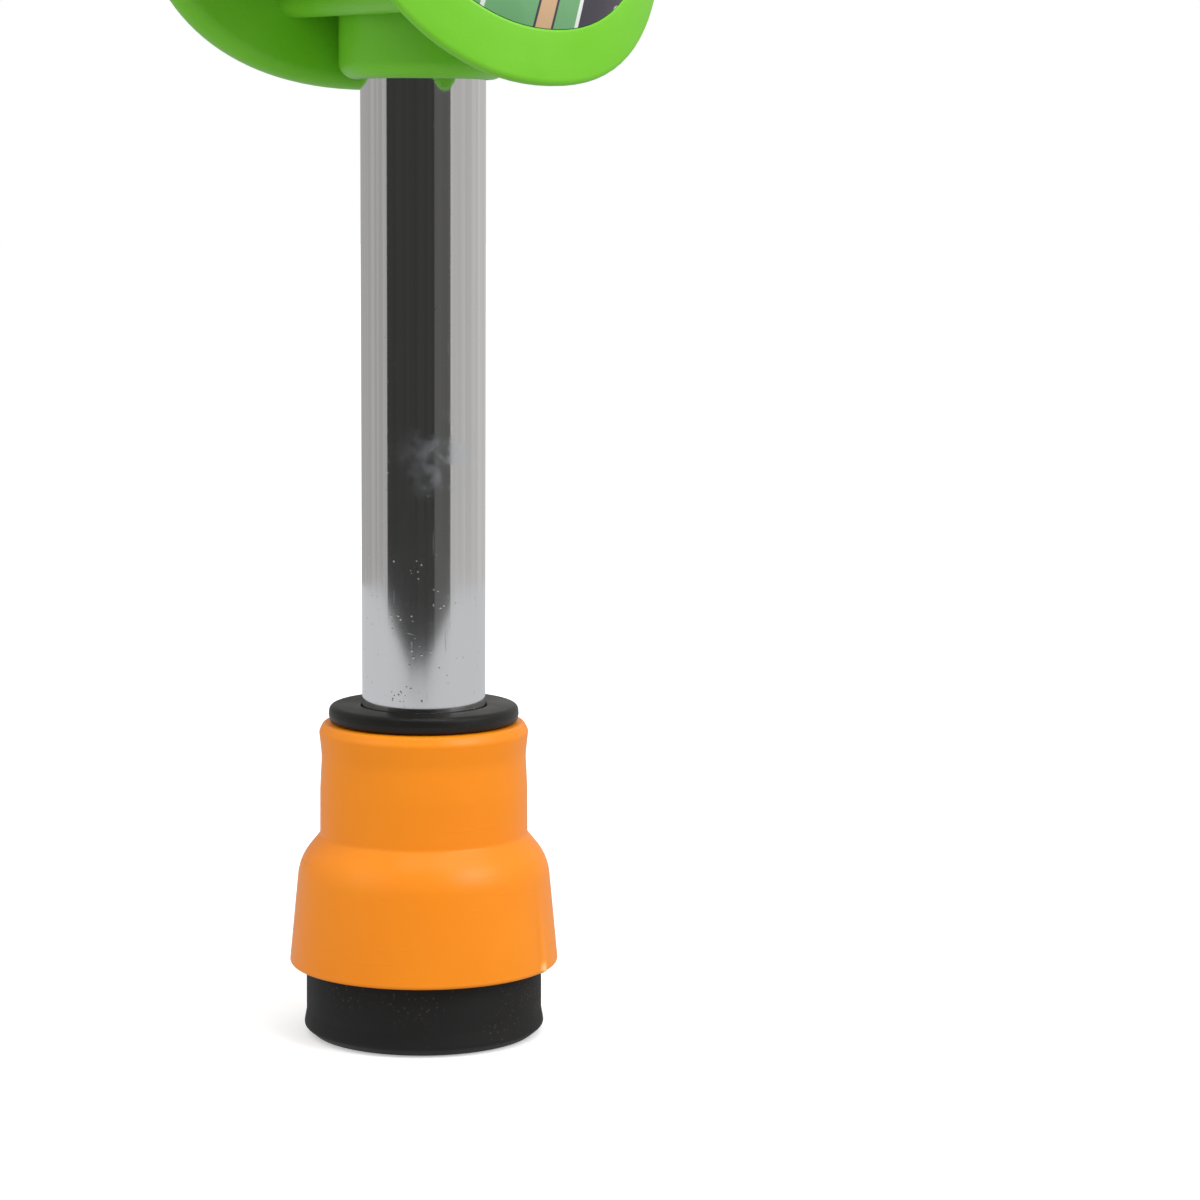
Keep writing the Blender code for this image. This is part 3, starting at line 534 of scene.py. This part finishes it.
def label_print():
    """A generic print: slanted bands and dots on a green ground, under a clear film."""
    made = Finish("label_print", IOR=1.5, Coat_Weight=0.6, Coat_Roughness=0.08)
    lean = 0.30
    slanted = made.math("ADD", made.height("X"), made.math("MULTIPLY", made.height("Z"), -lean))
    # measured across the bands from the sheet's lowest point
    across = made.math("ADD", slanted, lean * (SHIELD_BOTTOM_Z + LABEL_MARGIN))
    green = (0.150, 0.385, 0.165)
    tan_band = (0.62, 0.40, 0.22)
    dark = (0.045, 0.040, 0.058)
    white = (0.80, 0.82, 0.80)
    dots = made.node("ShaderNodeTexVoronoi", Vector=made.place, Scale=170.0, Randomness=0.15)
    dotted = made.mix(made.step(dots.outputs["Distance"], 0.20, 0.26, 1.0, 0.0), dark, white)
    shade = made.mix(made.step(made.noise(45.0, 4.0), 0.35, 0.65), green, (0.175, 0.425, 0.190))
    # each band is (where it starts, its colour)
    bands = (
        (-0.0190, white), (-0.0180, shade), (-0.0058, dark), (-0.0052, tan_band), (-0.0012, dark),
        (-0.0006, shade), (0.0050, white), (0.0060, dotted), (0.0210, white), (0.0220, shade),
    )
    colour = shade
    for start, following in bands:
        colour = made.mix(made.step(across, start - 0.0001, start + 0.0001), colour, following)
    made.colour(colour)
    made.roughness(made.step(made.noise(80.0, 4.0), 0.3, 0.7, 0.22, 0.34))
    made.bump(made.noise(120.0, 3.0), 0.00005)
    return made.material


LIME = lime()
ORANGE = orange()
GRIP = grip_rubber()
FOOT_RUBBER = dusty_rubber("foot_rubber", 0.66, 1.0, 0.00006)
RING_RUBBER = dusty_rubber("ring_rubber", 0.40, 0.25, 0.00002)
PAD_RUBBER = dusty_rubber("pad_rubber", 0.62, 0.5, 0.00005)
CHROME = chrome()
STEM = stem_paint()
ZINC = zinc()
NYLON = nylon()


# ---- the sliding leg ----
def make_foot():
    base, body, neck = 0.0253, 0.0269, 0.0200
    lip, lip_z, shoulder, socket_z = FOOT_HIGH.x, 0.0018, 0.0220, 0.0120
    socket = PLUNGER_R + GAP
    outline = [(0, 0.0010), (0.0060, 0.0010), (0.0066, 0.0)]
    # shallow rings moulded into the sole
    for start in (0.0120, 0.0180):
        outline += [(start, 0.0), (start + 0.0005, 0.0010), (start + 0.0019, 0.0010), (start + 0.0024, 0.0)]
    outline += [
        (base, 0.0, 0.0004), (lip, lip_z, 0.0012), (body, 0.0052, 0.0020),
        (body, shoulder - 0.0015, 0.0010), (neck, shoulder + 0.0010, 0.0008),
        (neck, FOOT_HIGH.z, 0.0006), (socket, FOOT_HIGH.z), (socket, socket_z), (0, socket_z),
    ]
    piece(solid("foot", lathe(rounded(outline))), "plunger", FOOT_RUBBER, "foot_rubber", "rubber_foot")


def make_sleeve():
    """The orange sleeve: a tapered skirt, a soft shoulder, and a waisted upper part with a lip."""
    low, high, skirt = SLEEVE_LOW.z, SLEEVE_HIGH.z, SLEEVE_HIGH.x
    neck = 0.0200 + GAP
    tube = PLUNGER_R + GAP
    ceiling = FOOT_HIGH.z + GAP
    outline = [
        (skirt, low, 0.0008), (skirt - 0.00232, low + 0.0240, 0.0120),
        (skirt - 0.00704, low + 0.0298, 0.0012), (skirt - 0.00710, high - 0.0150, 0.0300),
        (skirt - 0.00750, high - 0.0075, 0.0160),
        (skirt - 0.00690, high - 0.0020, 0.0018), (skirt - 0.00790, high, 0.0012),
        (tube, high, 0.0004), (tube, ceiling + 0.0030), (neck, ceiling + 0.0002), (neck, 0.0260),
        (0.0275, 0.0230), (skirt - 0.0030, low, 0.0004),
    ]
    obj = solid("sleeve", lathe(rounded(outline, 10), FINE_STEPS))
    # a scrap of flash stands out of the rim
    for vertex in obj.data.vertices:
        away = (vertex.co - FLASH_PLACE).length
        if away < FLASH_REACH:
            lift = (1 - away / FLASH_REACH) ** 2
            wave = sin(vertex.co.x * 9000) * sin(vertex.co.z * 7000 + 1.0)
            outward = Vector((vertex.co.x, vertex.co.y, 0)).normalized()
            vertex.co += outward * lift * (0.0004 + 0.0004 * wave) + Vector((0, 0, -0.0004 * lift * wave))
    piece(obj, "plunger", ORANGE, "orange_plastic", "tip_shield")


def make_ring():
    inner = PLUNGER_R + GAP
    outline = [
        (RING_HIGH.x - 0.0003, RING_LOW.z, 0.0006), (RING_HIGH.x, RING_LOW.z + 0.0016, 0.0008),
        (RING_HIGH.x - 0.0002, RING_HIGH.z, 0.0013), (inner, RING_HIGH.z, 0.0005), (inner, RING_LOW.z),
    ]
    piece(solid("ring", lathe(rounded(outline))), "plunger", RING_RUBBER, "ring_rubber", "buffer_ring")


def make_plunger():
    """The sliding tube, with a slot front and back that the guide bolt runs in."""
    low, high = PLUNGER_LOW.z, PLUNGER_HIGH.z
    inner = PLUNGER_R - PLUNGER_WALL
    outline = [(PLUNGER_R, low), (PLUNGER_R, high), (inner, high), (inner, low)]
    tube = solid("plunger_leg", lathe(outline, FINE_STEPS))
    guide_z = (GUIDE_LOW.z + GUIDE_HIGH.z) / 2
    slot = arc(0, guide_z, SLOT_HALF_WIDTH, 0, pi, 12)
    slot += arc(0, guide_z - STROKE, SLOT_HALF_WIDTH, pi, tau, 12)
    cutter = solid("slot", prism(slot, -0.02, 0.02), Matrix.Rotation(pi / 2, 4, "X"))
    piece(combine(tube, [cutter], "DIFFERENCE"), "plunger", CHROME, "chrome", "plunger_tube")


# ---- the spring ----
def make_spring():
    """A round-wire spring under its stop."""
    around = SPRING_STEPS_AROUND
    count = COIL_TURNS * SPRING_STEPS_PER_TURN
    low = SPRING_LOW.z + WIRE_R
    high = SPRING_HIGH.z - WIRE_R
    work = bmesh.new()
    rings = []
    for i in range(count + 1):
        turn = tau * i / SPRING_STEPS_PER_TURN
        outward = Vector((cos(turn), sin(turn), 0))
        centre = outward * COIL_R + Vector((0, 0, low + (high - low) * i / count))
        angles = [tau * j / around for j in range(around)]
        rings.append([
            work.verts.new(centre + WIRE_R * (outward * cos(a) + Vector((0, 0, sin(a))))) for a in angles
        ])
    for ring, following in zip(rings, rings[1:]):
        for j in range(around):
            k = (j + 1) % around
            work.faces.new((ring[j], ring[k], following[k], following[j]))
    work.faces.new(rings[0][::-1])
    work.faces.new(rings[-1])
    spring = piece(solid("coil_spring", work), "frame", spring_steel(), "spring_steel", "main_spring")
    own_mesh(spring)


# ---- the foot-rest ----
def make_footrest():
    """Hub, two shields, webs and treads in one moulding."""
    hub = [
        (HUB_LIP_R, HUB_BOTTOM_Z, 0.0005), (HUB_R, HUB_BOTTOM_Z, 0.0036), (HUB_R, HUB_TOP_Z, 0.0008),
        (STEM_R + GAP, HUB_TOP_Z), (STEM_R + GAP, STEM_LOW.z - GAP), (HUB_LIP_R, STEM_LOW.z - GAP),
    ]
    body = solid("footrest_moulding", lathe(rounded(hub, 8)))
    recess = LABEL_SET_BACK + LABEL_THICKNESS + 0.0001
    seat = LABEL_MARGIN - 0.0003
    front_face = face_loops(seat, recess) + [
        (seat, 1, recess), (seat, 1, 0.0002), (seat - 0.0002, 1, 0.00005), (seat - 0.0006, 1, 0.0),
        (FACE_MARGIN, 1, 0.0), (0.0045, 1, 0.0),
    ]
    inside = face_loops(FACE_MARGIN, SHIELD_WALL)[::-1]
    front = plate(
        FRONT_SIZE,
        front_face + rim_loops(BACK_ROUND, RIM_ROUND, SHIELD_WALL) + inside,
        SHIELD_BOTTOM_Z + FRONT_SIZE[1], FRONT_SHIELD_Y, FRONT_SHIELD_R,
    )
    rear = plate(
        REAR_SIZE,
        face_loops(FACE_MARGIN, 0.0) + rim_loops(RIM_ROUND, BACK_ROUND, SHIELD_WALL) + inside,
        SHIELD_BOTTOM_Z + REAR_SIZE[1], REAR_SHIELD_Y,
    )
    others = [solid("front_shield", front), solid("rear_shield", rear)]
    deck_low = DECK_TOP_Z - DECK_THICKNESS
    for side in (-1, 1):
        x = side * WEB_X
        web = arc(x, WEB_BOTTOM_Z + WEB_HALF, WEB_HALF, pi, tau, 16)
        web += [(x + WEB_HALF, deck_low + 0.0020), (x - WEB_HALF, deck_low + 0.0020)]
        others.append(solid("web", prism(web, -WEB_REAR_Y, -WEB_FRONT_Y), Matrix.Rotation(pi / 2, 4, "X")))
        inner, outer = side * TREAD_INNER_X, side * BODY_HIGH.x
        tread = rounded([
            (inner, -TREAD_HALF_DEPTH, TREAD_CORNER_R), (outer, -TREAD_HALF_DEPTH, TREAD_CORNER_R),
            (outer, TREAD_HALF_DEPTH, TREAD_CORNER_R), (inner, TREAD_HALF_DEPTH, TREAD_CORNER_R),
        ])
        others.append(solid("tread", prism(tread, deck_low, DECK_TOP_Z, 0.0010)))
        for y in (-RIB_Y, RIB_Y):
            near, far = side * (WEB_X + WEB_HALF), side * (BODY_HIGH.x - 0.0100)
            front_y, back_y = y - RIB_WALL / 2, y + RIB_WALL / 2
            rib = [(near, front_y), (far, front_y), (far, back_y), (near, back_y)]
            others.append(solid("rib", prism(rib, deck_low - RIB_HEIGHT, deck_low + 0.0010, 0.0005)))
    reach = TREAD_INNER_X + TREAD_CORNER_R
    neck = [(-reach, NECK_FRONT_Y), (reach, NECK_FRONT_Y), (reach, NECK_REAR_Y), (-reach, NECK_REAR_Y)]
    others.append(solid("neck", prism(neck, deck_low, DECK_TOP_Z - 0.0010, 0.0008)))
    combine(body, others, "UNION")
    bores = [
        rod("stem_bore", STEM_R + GAP, STEM_LOW.z - GAP, HUB_TOP_Z + 0.002, steps=ROUND_STEPS),
        rod("bar_bore", FOOT_BAR_R + GAP, -0.0330, 0.0330, lying_x(z=FOOT_BAR_Z)),
    ]
    combine(body, bores, "DIFFERENCE")
    piece(body, "frame", LIME, "lime_plastic", "footrest_body")


def make_label():
    margin = LABEL_MARGIN - GAP / 2
    faces = face_loops(margin, 0.0) + rim_loops(0.0001, 0.0001, LABEL_THICKNESS, 2)
    # the sheet's rim starts at its own margin
    loops = [(m if s < 1 else m + margin, s, d) for m, s, d in faces]
    loops += face_loops(margin, LABEL_THICKNESS)[::-1]
    face_y, bend = FRONT_SHIELD_Y + LABEL_SET_BACK, FRONT_SHIELD_R - LABEL_SET_BACK
    obj = solid("label", plate(FRONT_SIZE, loops, SHIELD_BOTTOM_Z + FRONT_SIZE[1], face_y, bend))
    piece(obj, "frame", label_print(), "label_print", "front_label")


def make_pad(word, side):
    """A rubber pad with ridges across it."""
    low, high = PAD_LOW.z, PAD_HIGH.z - PAD_RIDGE
    pitch = (PAD_HIGH.x - PAD_LOW.x) / PAD_RIDGES
    outline = [(PAD_LOW.x, low, 0.0003), (PAD_LOW.x, high, 0.0006)]
    for i in range(PAD_RIDGES):
        start = PAD_LOW.x + pitch * i
        outline += [
            (start + 0.30 * pitch, high, 0.0004), (start + 0.38 * pitch, PAD_HIGH.z, 0.0005),
            (start + 0.82 * pitch, PAD_HIGH.z, 0.0005), (start + 0.90 * pitch, high, 0.0004),
        ]
    outline += [(PAD_HIGH.x, high, 0.0003), (PAD_HIGH.x, low, 0.0003)]
    turn = Matrix.Rotation(pi / 2, 4, "X")
    if side < 0:
        turn = Matrix.Rotation(pi, 4, "Z") @ turn
    work = prism(rounded(outline, 3), PAD_LOW.y, PAD_HIGH.y)
    piece(solid(f"pad_{word}", work, turn), "frame", PAD_RUBBER, "pad_rubber", f"tread_pad_{word}")


def make_foot_bar(word, side):
    start, end = FOOT_BAR_LOW.x, FOOT_BAR_HIGH.x
    outline = [(0, start), (FOOT_BAR_R, start), (FOOT_BAR_R, end, 0.0012), (0, end)]
    work = lathe(rounded(outline, 4), ROD_STEPS)
    obj = solid(f"bar_{word}", work, lying_x(z=FOOT_BAR_Z, side=side))
    piece(obj, "frame", ZINC, "zinc_steel", f"foot_bar_{word}")


# ---- bolts and screws ----
def pan_screw(name, end, seat, turn, node):
    """A pan-head screw along Z, its head up, with a cross recess."""
    top = seat + SCREW_HEAD_THICKNESS
    outline = [
        (0, end), (SCREW_R, end, 0.0005), (SCREW_R, seat), (SCREW_HEAD_R, seat, 0.0002),
        (SCREW_HEAD_R, top, 0.0012), (0, top),
    ]
    screw = solid(name, lathe(rounded(outline, 5), ROD_STEPS))
    arm, half = 0.0022, 0.0004
    cross = []
    for long, short in ((arm, half), (half, arm)):
        box = [(-long, -short), (long, -short), (long, short), (-long, short)]
        cross.append(solid(f"{name}_arm", prism(box, top - 0.0012, top + 0.001)))
    combine(screw, cross, "DIFFERENCE")
    screw.data.transform(turn)
    piece(screw, "frame", ZINC, "zinc_steel", node)


def hexagon(low, high):
    corners = [(BOLT_HEAD_R * cos(tau * i / 6), BOLT_HEAD_R * sin(tau * i / 6)) for i in range(6)]
    return prism(corners, low, high, 0.0004)


def make_cross_bolt(word, low, high):
    """A hexagon bolt through the stem and the nut behind it."""
    z = (low.z + high.z) / 2
    seat = STEM_R + GAP
    turn = lying_y(z=z)
    head = hexagon(seat, seat + BOLT_HEAD_THICKNESS)
    end = -high.y
    shank = rounded([(0, end), (BOLT_R, end, 0.0006), (BOLT_R, seat + 0.001), (0, seat + 0.001)], 4)
    shank = solid("shank", lathe(shank, ROD_STEPS), turn)
    bolt = combine(solid(f"bolt_{word}", head, turn), [shank], "UNION")
    piece(bolt, "frame", ZINC, "zinc_steel", f"{word}_bolt")
    nut_shape = hexagon(-seat - NUT_THICKNESS, -seat)
    hole = rod("nut_hole", BOLT_R + GAP, -seat - 0.01, -seat + 0.002, turn)
    nut = combine(solid(f"nut_{word}", nut_shape, turn), [hole], "DIFFERENCE")
    piece(nut, "frame", ZINC, "zinc_steel", f"{word}_nut")


# ---- stem and handle ----
def make_stem():
    outline = [(STEM_R, STEM_LOW.z, 0.0004), (STEM_R, STEM_HIGH.z, 0.0004)]
    outline += [(STEM_R - STEM_WALL, STEM_HIGH.z), (STEM_R - STEM_WALL, STEM_LOW.z)]
    stem = solid("stem", lathe(rounded(outline, 3)))
    holes = []
    for low, high in ((GUIDE_LOW, GUIDE_HIGH), (STOP_LOW, STOP_HIGH)):
        holes.append(rod("bolt_hole", BOLT_R + GAP, -0.02, 0.02, lying_y(z=(low.z + high.z) / 2)))
    piece(combine(stem, holes, "DIFFERENCE"), "frame", STEM, "stem_paint", "outer_tube")


def make_handlebar():
    inner = BAR_R - BAR_WALL
    outline = [(BAR_R, BAR_LOW.x), (BAR_R, BAR_HIGH.x), (inner, BAR_HIGH.x), (inner, BAR_LOW.x)]
    obj = solid("cross_bar", lathe(outline, BAR_STEPS), lying_x(z=BAR_Z))
    piece(obj, "frame", STEM, "stem_paint", "handlebar")


def make_grip(word, side):
    """A rubber grip: a flange inboard, soft finger rings and a round closed end."""
    start, end, flange = GRIP_LOW.x, GRIP_HIGH.x, GRIP_HIGH.z - BAR_Z
    inner = BAR_R + GAP
    rings, steps = 5, 12
    first, last = start + 0.0120, end - 0.0120
    outline = [
        (inner, start), (flange, start, 0.0012), (flange, start + 0.0035, 0.0014),
        (GRIP_R, start + 0.0050, 0.0012),
    ]
    for i in range(rings * steps + 1):
        dip = 0.0005 * (1 - cos(tau * i / steps))
        outline.append((GRIP_R - dip, first + (last - first) * i / (rings * steps)))
    outline += [(GRIP_R, end, 0.0045), (0, end), (0, BAR_HIGH.x + GAP), (inner, BAR_HIGH.x + GAP)]
    obj = solid(f"hand_{word}", lathe(rounded(outline), BAR_STEPS), lying_x(z=BAR_Z, side=side))
    piece(obj, "frame", GRIP, "grip_rubber", f"grip_{word}")


def make_cover(word, side):
    """Half of the T-shaped head, split across Y."""
    roof = BAR_Z + 0.004
    sleeve = [
        (0, COVER_LOW.z), (COVER_SLEEVE_R, COVER_LOW.z, 0.0018), (COVER_SLEEVE_R, roof, 0.0060),
        (0, roof),
    ]
    across = [
        (0, -COVER_HALF_WIDTH), (COVER_BAR_R, -COVER_HALF_WIDTH, 0.0018),
        (COVER_BAR_R, COVER_HALF_WIDTH, 0.0018), (0, COVER_HALF_WIDTH),
    ]
    body = solid(f"head_{word}", lathe(rounded(sleeve)))
    others = [solid("across", lathe(rounded(across)), lying_x(z=BAR_Z))]
    for x, z in COVER_SCREWS:
        boss = [
            (0, -BOSS_DEPTH), (BOSS_R, -BOSS_DEPTH, 0.0008), (BOSS_R, BOSS_DEPTH, 0.0008),
            (0, BOSS_DEPTH),
        ]
        others.append(solid("boss", lathe(rounded(boss, 4), ROD_STEPS), lying_y(x=x, z=z)))
    combine(body, others, "UNION")
    reach = COVER_HALF_WIDTH + 0.002
    wide, deep = COVER_CUT_HALF_WIDTH, COVER_CUT_HALF_DEPTH
    block = [(-wide, -deep), (wide, -deep), (wide, deep), (-wide, deep)]
    away = Matrix.Translation((0, -side * (deep - GAP / 2), 0))
    bores = [
        rod("bore_stem", STEM_R + GAP, COVER_LOW.z - 0.002, STEM_HIGH.z + GAP, steps=ROUND_STEPS),
        rod("bore_bar", BAR_R + GAP, -reach, reach, lying_x(z=BAR_Z), BAR_STEPS),
        solid("beyond", prism(block, *COVER_CUT_Z), away),
    ]
    for x, z in COVER_SCREWS:
        bores.append(rod("bore_screw", SCREW_R + GAP, -0.015, 0.015, lying_y(x=x, z=z)))
    combine(body, bores, "DIFFERENCE")
    piece(body, "frame", LIME, "lime_plastic", f"handle_cover_{word}")


def dress(finish, *nodes):
    """Gives CAD nodes that keep their own shape a better material."""
    for name in nodes:
        for place in frame["nodes"][name].material_slots:
            place.material = finish


make_foot()
make_sleeve()
make_ring()
make_plunger()
make_spring()
make_footrest()
make_label()
make_stem()
make_handlebar()
for word, side in (("left", -1), ("right", 1)):
    make_pad(word, side)
    make_foot_bar(word, side)
    make_grip(word, side)
    screws = ((SCREW_LOW, SCREW_HIGH), (OUTER_SCREW_LOW, OUTER_SCREW_HIGH))
    for number, (low, high) in enumerate(screws, 1):
        # the head is below, so the screw is made upside down
        turn = Matrix.Translation((side * (low.x + high.x) / 2, 0, 0)) @ Matrix.Rotation(pi, 4, "X")
        seat = -low.z - SCREW_HEAD_THICKNESS
        node = f"tread_screw_{word}_{number}"
        pan_screw(f"tread_fixing_{word}_{number}", -high.z, seat, turn, node)
for word, side in (("front", -1), ("back", 1)):
    make_cover(word, side)
for number, (x, z) in enumerate(COVER_SCREWS, 1):
    seat = BOSS_DEPTH + GAP
    pan_screw(f"head_fixing_{number}", -0.0100, seat, lying_y(x=x, z=z), f"cover_screw_{number}")
make_cross_bolt("guide", GUIDE_LOW, GUIDE_HIGH)
make_cross_bolt("stop", STOP_LOW, STOP_HIGH)
dress(NYLON, "plunger_plug", "lower_bushing")
dress(ZINC, "spring_stop", "foot_washer")

# ---- camera ----
CAMERA_TURN = radians(-34)  # from straight ahead of the front shield, towards its left
CAMERA_DISTANCE = 0.7870
CAMERA_HEIGHT = 0.1992
CAMERA_TILT = radians(7.23)  # down
CAMERA_YAW = radians(2.91)  # away from the axis, so that the stick stands left of the middle
CAMERA_ROLL = radians(0.30)
LENS_MM = 104.88
SENSOR_MM = 36.0
PICTURE_RIGHT = Vector((cos(CAMERA_TURN), sin(CAMERA_TURN), 0))
AHEAD = Vector((-sin(CAMERA_TURN), cos(CAMERA_TURN), 0))


def make_camera():
    camera = bpy.data.objects.new("camera", bpy.data.cameras.new("camera"))
    bpy.context.collection.objects.link(camera)
    level_right = cos(CAMERA_YAW) * PICTURE_RIGHT - sin(CAMERA_YAW) * AHEAD
    level_ahead = sin(CAMERA_YAW) * PICTURE_RIGHT + cos(CAMERA_YAW) * AHEAD
    forward = cos(CAMERA_TILT) * level_ahead - sin(CAMERA_TILT) * Vector((0, 0, 1))
    up = level_right.cross(forward)
    right = cos(CAMERA_ROLL) * level_right + sin(CAMERA_ROLL) * up
    up = cos(CAMERA_ROLL) * up - sin(CAMERA_ROLL) * level_right
    turn = Matrix((right, up, -forward)).transposed().to_4x4()
    stand = -AHEAD * CAMERA_DISTANCE + Vector((0, 0, CAMERA_HEIGHT))
    camera.matrix_world = Matrix.Translation(stand) @ turn
    camera.data.lens = LENS_MM
    camera.data.sensor_width = SENSOR_MM
    camera.data.clip_start = 0.01
    bpy.context.scene.camera = camera


# ---- studio ----
# Plain screens round the stick stand in for a room: they show only in glossy surfaces. Each is (name,
# first angle, last angle, brightness), in degrees from the direction of the camera, positive to the right
# of the picture. They stand on the table near one angle. On either side of it their lower edge rises, up
# to a limit, and the table card shows below them.
SCREEN_DISTANCE = 0.60
SCREEN_HEIGHT = 1.60
SCREEN_COLOUR = (1.0, 0.985, 0.955)
SCREEN_STREAK = 0.10
SCREEN_STEP = 3
SCREEN_REST = -10
SCREEN_REST_HALF_WIDTH = 14
SCREEN_FOOT_SLOPE = 0.00050
SCREEN_FOOT_LIMIT = 0.030
SCREENS = (
    ("left_wall", -180, -70, 0.40),
    ("dark_room", -70, 20, 0.04),
    ("doorway", 20, 50, 0.10),
    ("window", 50, 120, 0.50),
    ("right_wall", 120, 180, 0.55),
)
STREAK_SCALE = 14.0
STREAK_STRETCH = (1.0, 1.0, 0.12)
TABLE_COLOUR = (0.96, 0.98, 1.0)
TABLE_LEVEL = 0.60
TABLE_RADIUS = 1.50
TABLE_Z = -0.0004
FLOOR_Z = -0.0002
FLOOR_HALF_WIDTH = 6.0
FLOOR_GLOW = 0.34
WORLD_LEVEL = 0.88
LIGHT_AIM = Vector((0, 0, 0.15))


def glow(name, colour, strength, streak):
    """A material that only glows, its brightness varied by upright streaks."""
    made = bpy.data.materials.new(name)
    made.use_nodes = True
    tree = made.node_tree
    tree.nodes.clear()
    light = tree.nodes.new("ShaderNodeEmission")
    light.inputs["Color"].default_value = (*colour, 1.0)
    place = tree.nodes.new("ShaderNodeTexCoord")
    stretch = tree.nodes.new("ShaderNodeMapping")
    stretch.inputs["Scale"].default_value = STREAK_STRETCH
    streaks = tree.nodes.new("ShaderNodeTexNoise")
    streaks.inputs["Scale"].default_value = STREAK_SCALE
    level = tree.nodes.new("ShaderNodeMapRange")
    level.inputs["From Min"].default_value = 0.30
    level.inputs["From Max"].default_value = 0.70
    level.inputs["To Min"].default_value = strength * (1 - streak)
    level.inputs["To Max"].default_value = strength * (1 + streak)
    end = tree.nodes.new("ShaderNodeOutputMaterial")
    tree.links.new(place.outputs["Object"], stretch.inputs["Vector"])
    tree.links.new(stretch.outputs["Vector"], streaks.inputs["Vector"])
    tree.links.new(streaks.outputs["Fac"], level.inputs["Value"])
    tree.links.new(level.outputs["Result"], light.inputs["Strength"])
    tree.links.new(light.outputs["Emission"], end.inputs["Surface"])
    return made


def make_screens():
    for name, first, last, level in SCREENS:
        work = bmesh.new()
        steps = (last - first) // SCREEN_STEP
        columns = []
        for i in range(steps + 1):
            angle = first + (last - first) * i / steps
            way = sin(radians(angle)) * PICTURE_RIGHT - cos(radians(angle)) * AHEAD
            away = max(0, abs(angle - SCREEN_REST) - SCREEN_REST_HALF_WIDTH)
            foot = min(SCREEN_FOOT_SLOPE * away, SCREEN_FOOT_LIMIT)
            ends = (Vector((0, 0, foot)), Vector((0, 0, SCREEN_HEIGHT)))
            columns.append([work.verts.new(way * SCREEN_DISTANCE + end) for end in ends])
        for left, right in zip(columns, columns[1:]):
            work.faces.new((left[0], right[0], right[1], left[1]))
        hide_but_for_gloss(solid(name, work), SCREEN_COLOUR, level, SCREEN_STREAK)


def make_table_card():
    """What the stick sees of the table: a glowing card, duller than the white paper that the camera sees,
    that lights the stick from below and shows in its gloss.
    """
    work = bmesh.new()
    bmesh.ops.create_circle(work, cap_ends=True, segments=64, radius=TABLE_RADIUS)
    card = solid("table_card", work, Matrix.Translation((0, 0, TABLE_Z)))
    hide_but_for_gloss(card, TABLE_COLOUR, TABLE_LEVEL)
    card.visible_diffuse = True


def hide_but_for_gloss(screen, colour, level, streak=0.0):
    screen.data.materials.append(glow(screen.name, colour, level, streak))
    screen.visible_camera = False
    screen.visible_diffuse = False
    screen.visible_shadow = False
    screen.visible_transmission = False


def make_floor():
    work = bmesh.new()
    bmesh.ops.create_grid(work, x_segments=1, y_segments=1, size=FLOOR_HALF_WIDTH)
    floor = solid("floor", work, Matrix.Translation((0, 0, FLOOR_Z)))
    finish = Finish("floor_paper", Roughness=0.9, IOR=1.3)
    finish.colour(finish.mix(finish.noise(3.0, 3.0), (0.90, 0.90, 0.90), (0.93, 0.93, 0.93)))
    # a lit table: it glows a little, so that its far side stays as pale as its near side
    finish.shader.inputs["Emission Color"].default_value = (1.0, 1.0, 1.0, 1.0)
    finish.shader.inputs["Emission Strength"].default_value = FLOOR_GLOW
    floor.data.materials.append(finish.material)
    floor.visible_diffuse = False
    floor.visible_glossy = False


def soft_light(name, way, distance, height, size, power):
    """A square soft light aimed at the leg. The way is in degrees from the camera's direction."""
    lamp = bpy.data.lights.new(name, "AREA")
    lamp.shape = "SQUARE"
    lamp.size = size
    lamp.energy = power
    obj = bpy.data.objects.new(name, lamp)
    bpy.context.collection.objects.link(obj)
    angle = radians(way)
    towards = sin(angle) * PICTURE_RIGHT - cos(angle) * AHEAD
    obj.location = towards * distance + Vector((0, 0, height))
    aim = LIGHT_AIM - obj.location
    obj.rotation_mode = "QUATERNION"
    obj.rotation_quaternion = aim.to_track_quat("-Z", "Y")


def make_world():
    """An even white surround, a little dimmer for the object than the backdrop the camera sees."""
    world = bpy.data.worlds.new("studio")
    world.use_nodes = True
    tree = world.node_tree
    seen = tree.nodes.new("ShaderNodeLightPath").outputs["Is Camera Ray"]
    level = tree.nodes.new("ShaderNodeMapRange")
    level.inputs["To Min"].default_value = WORLD_LEVEL
    level.inputs["To Max"].default_value = 1.0
    tree.links.new(seen, level.inputs["Value"])
    background = tree.nodes["Background"]
    background.inputs["Color"].default_value = (1.0, 1.0, 1.0, 1.0)
    tree.links.new(level.outputs["Result"], background.inputs["Strength"])
    bpy.context.scene.world = world
    bpy.context.scene.view_settings.view_transform = "Standard"


make_camera()
make_screens()
make_table_card()
make_floor()
soft_light("key", 55, 1.6, 1.3, 1.0, 15.0)
soft_light("fill", -60, 1.8, 1.1, 1.2, 5.0)
soft_light("top_left", -32, 0.50, 1.5, 0.22, 2.2)
soft_light("top_right", 40, 0.50, 1.5, 0.22, 2.2)
make_world()
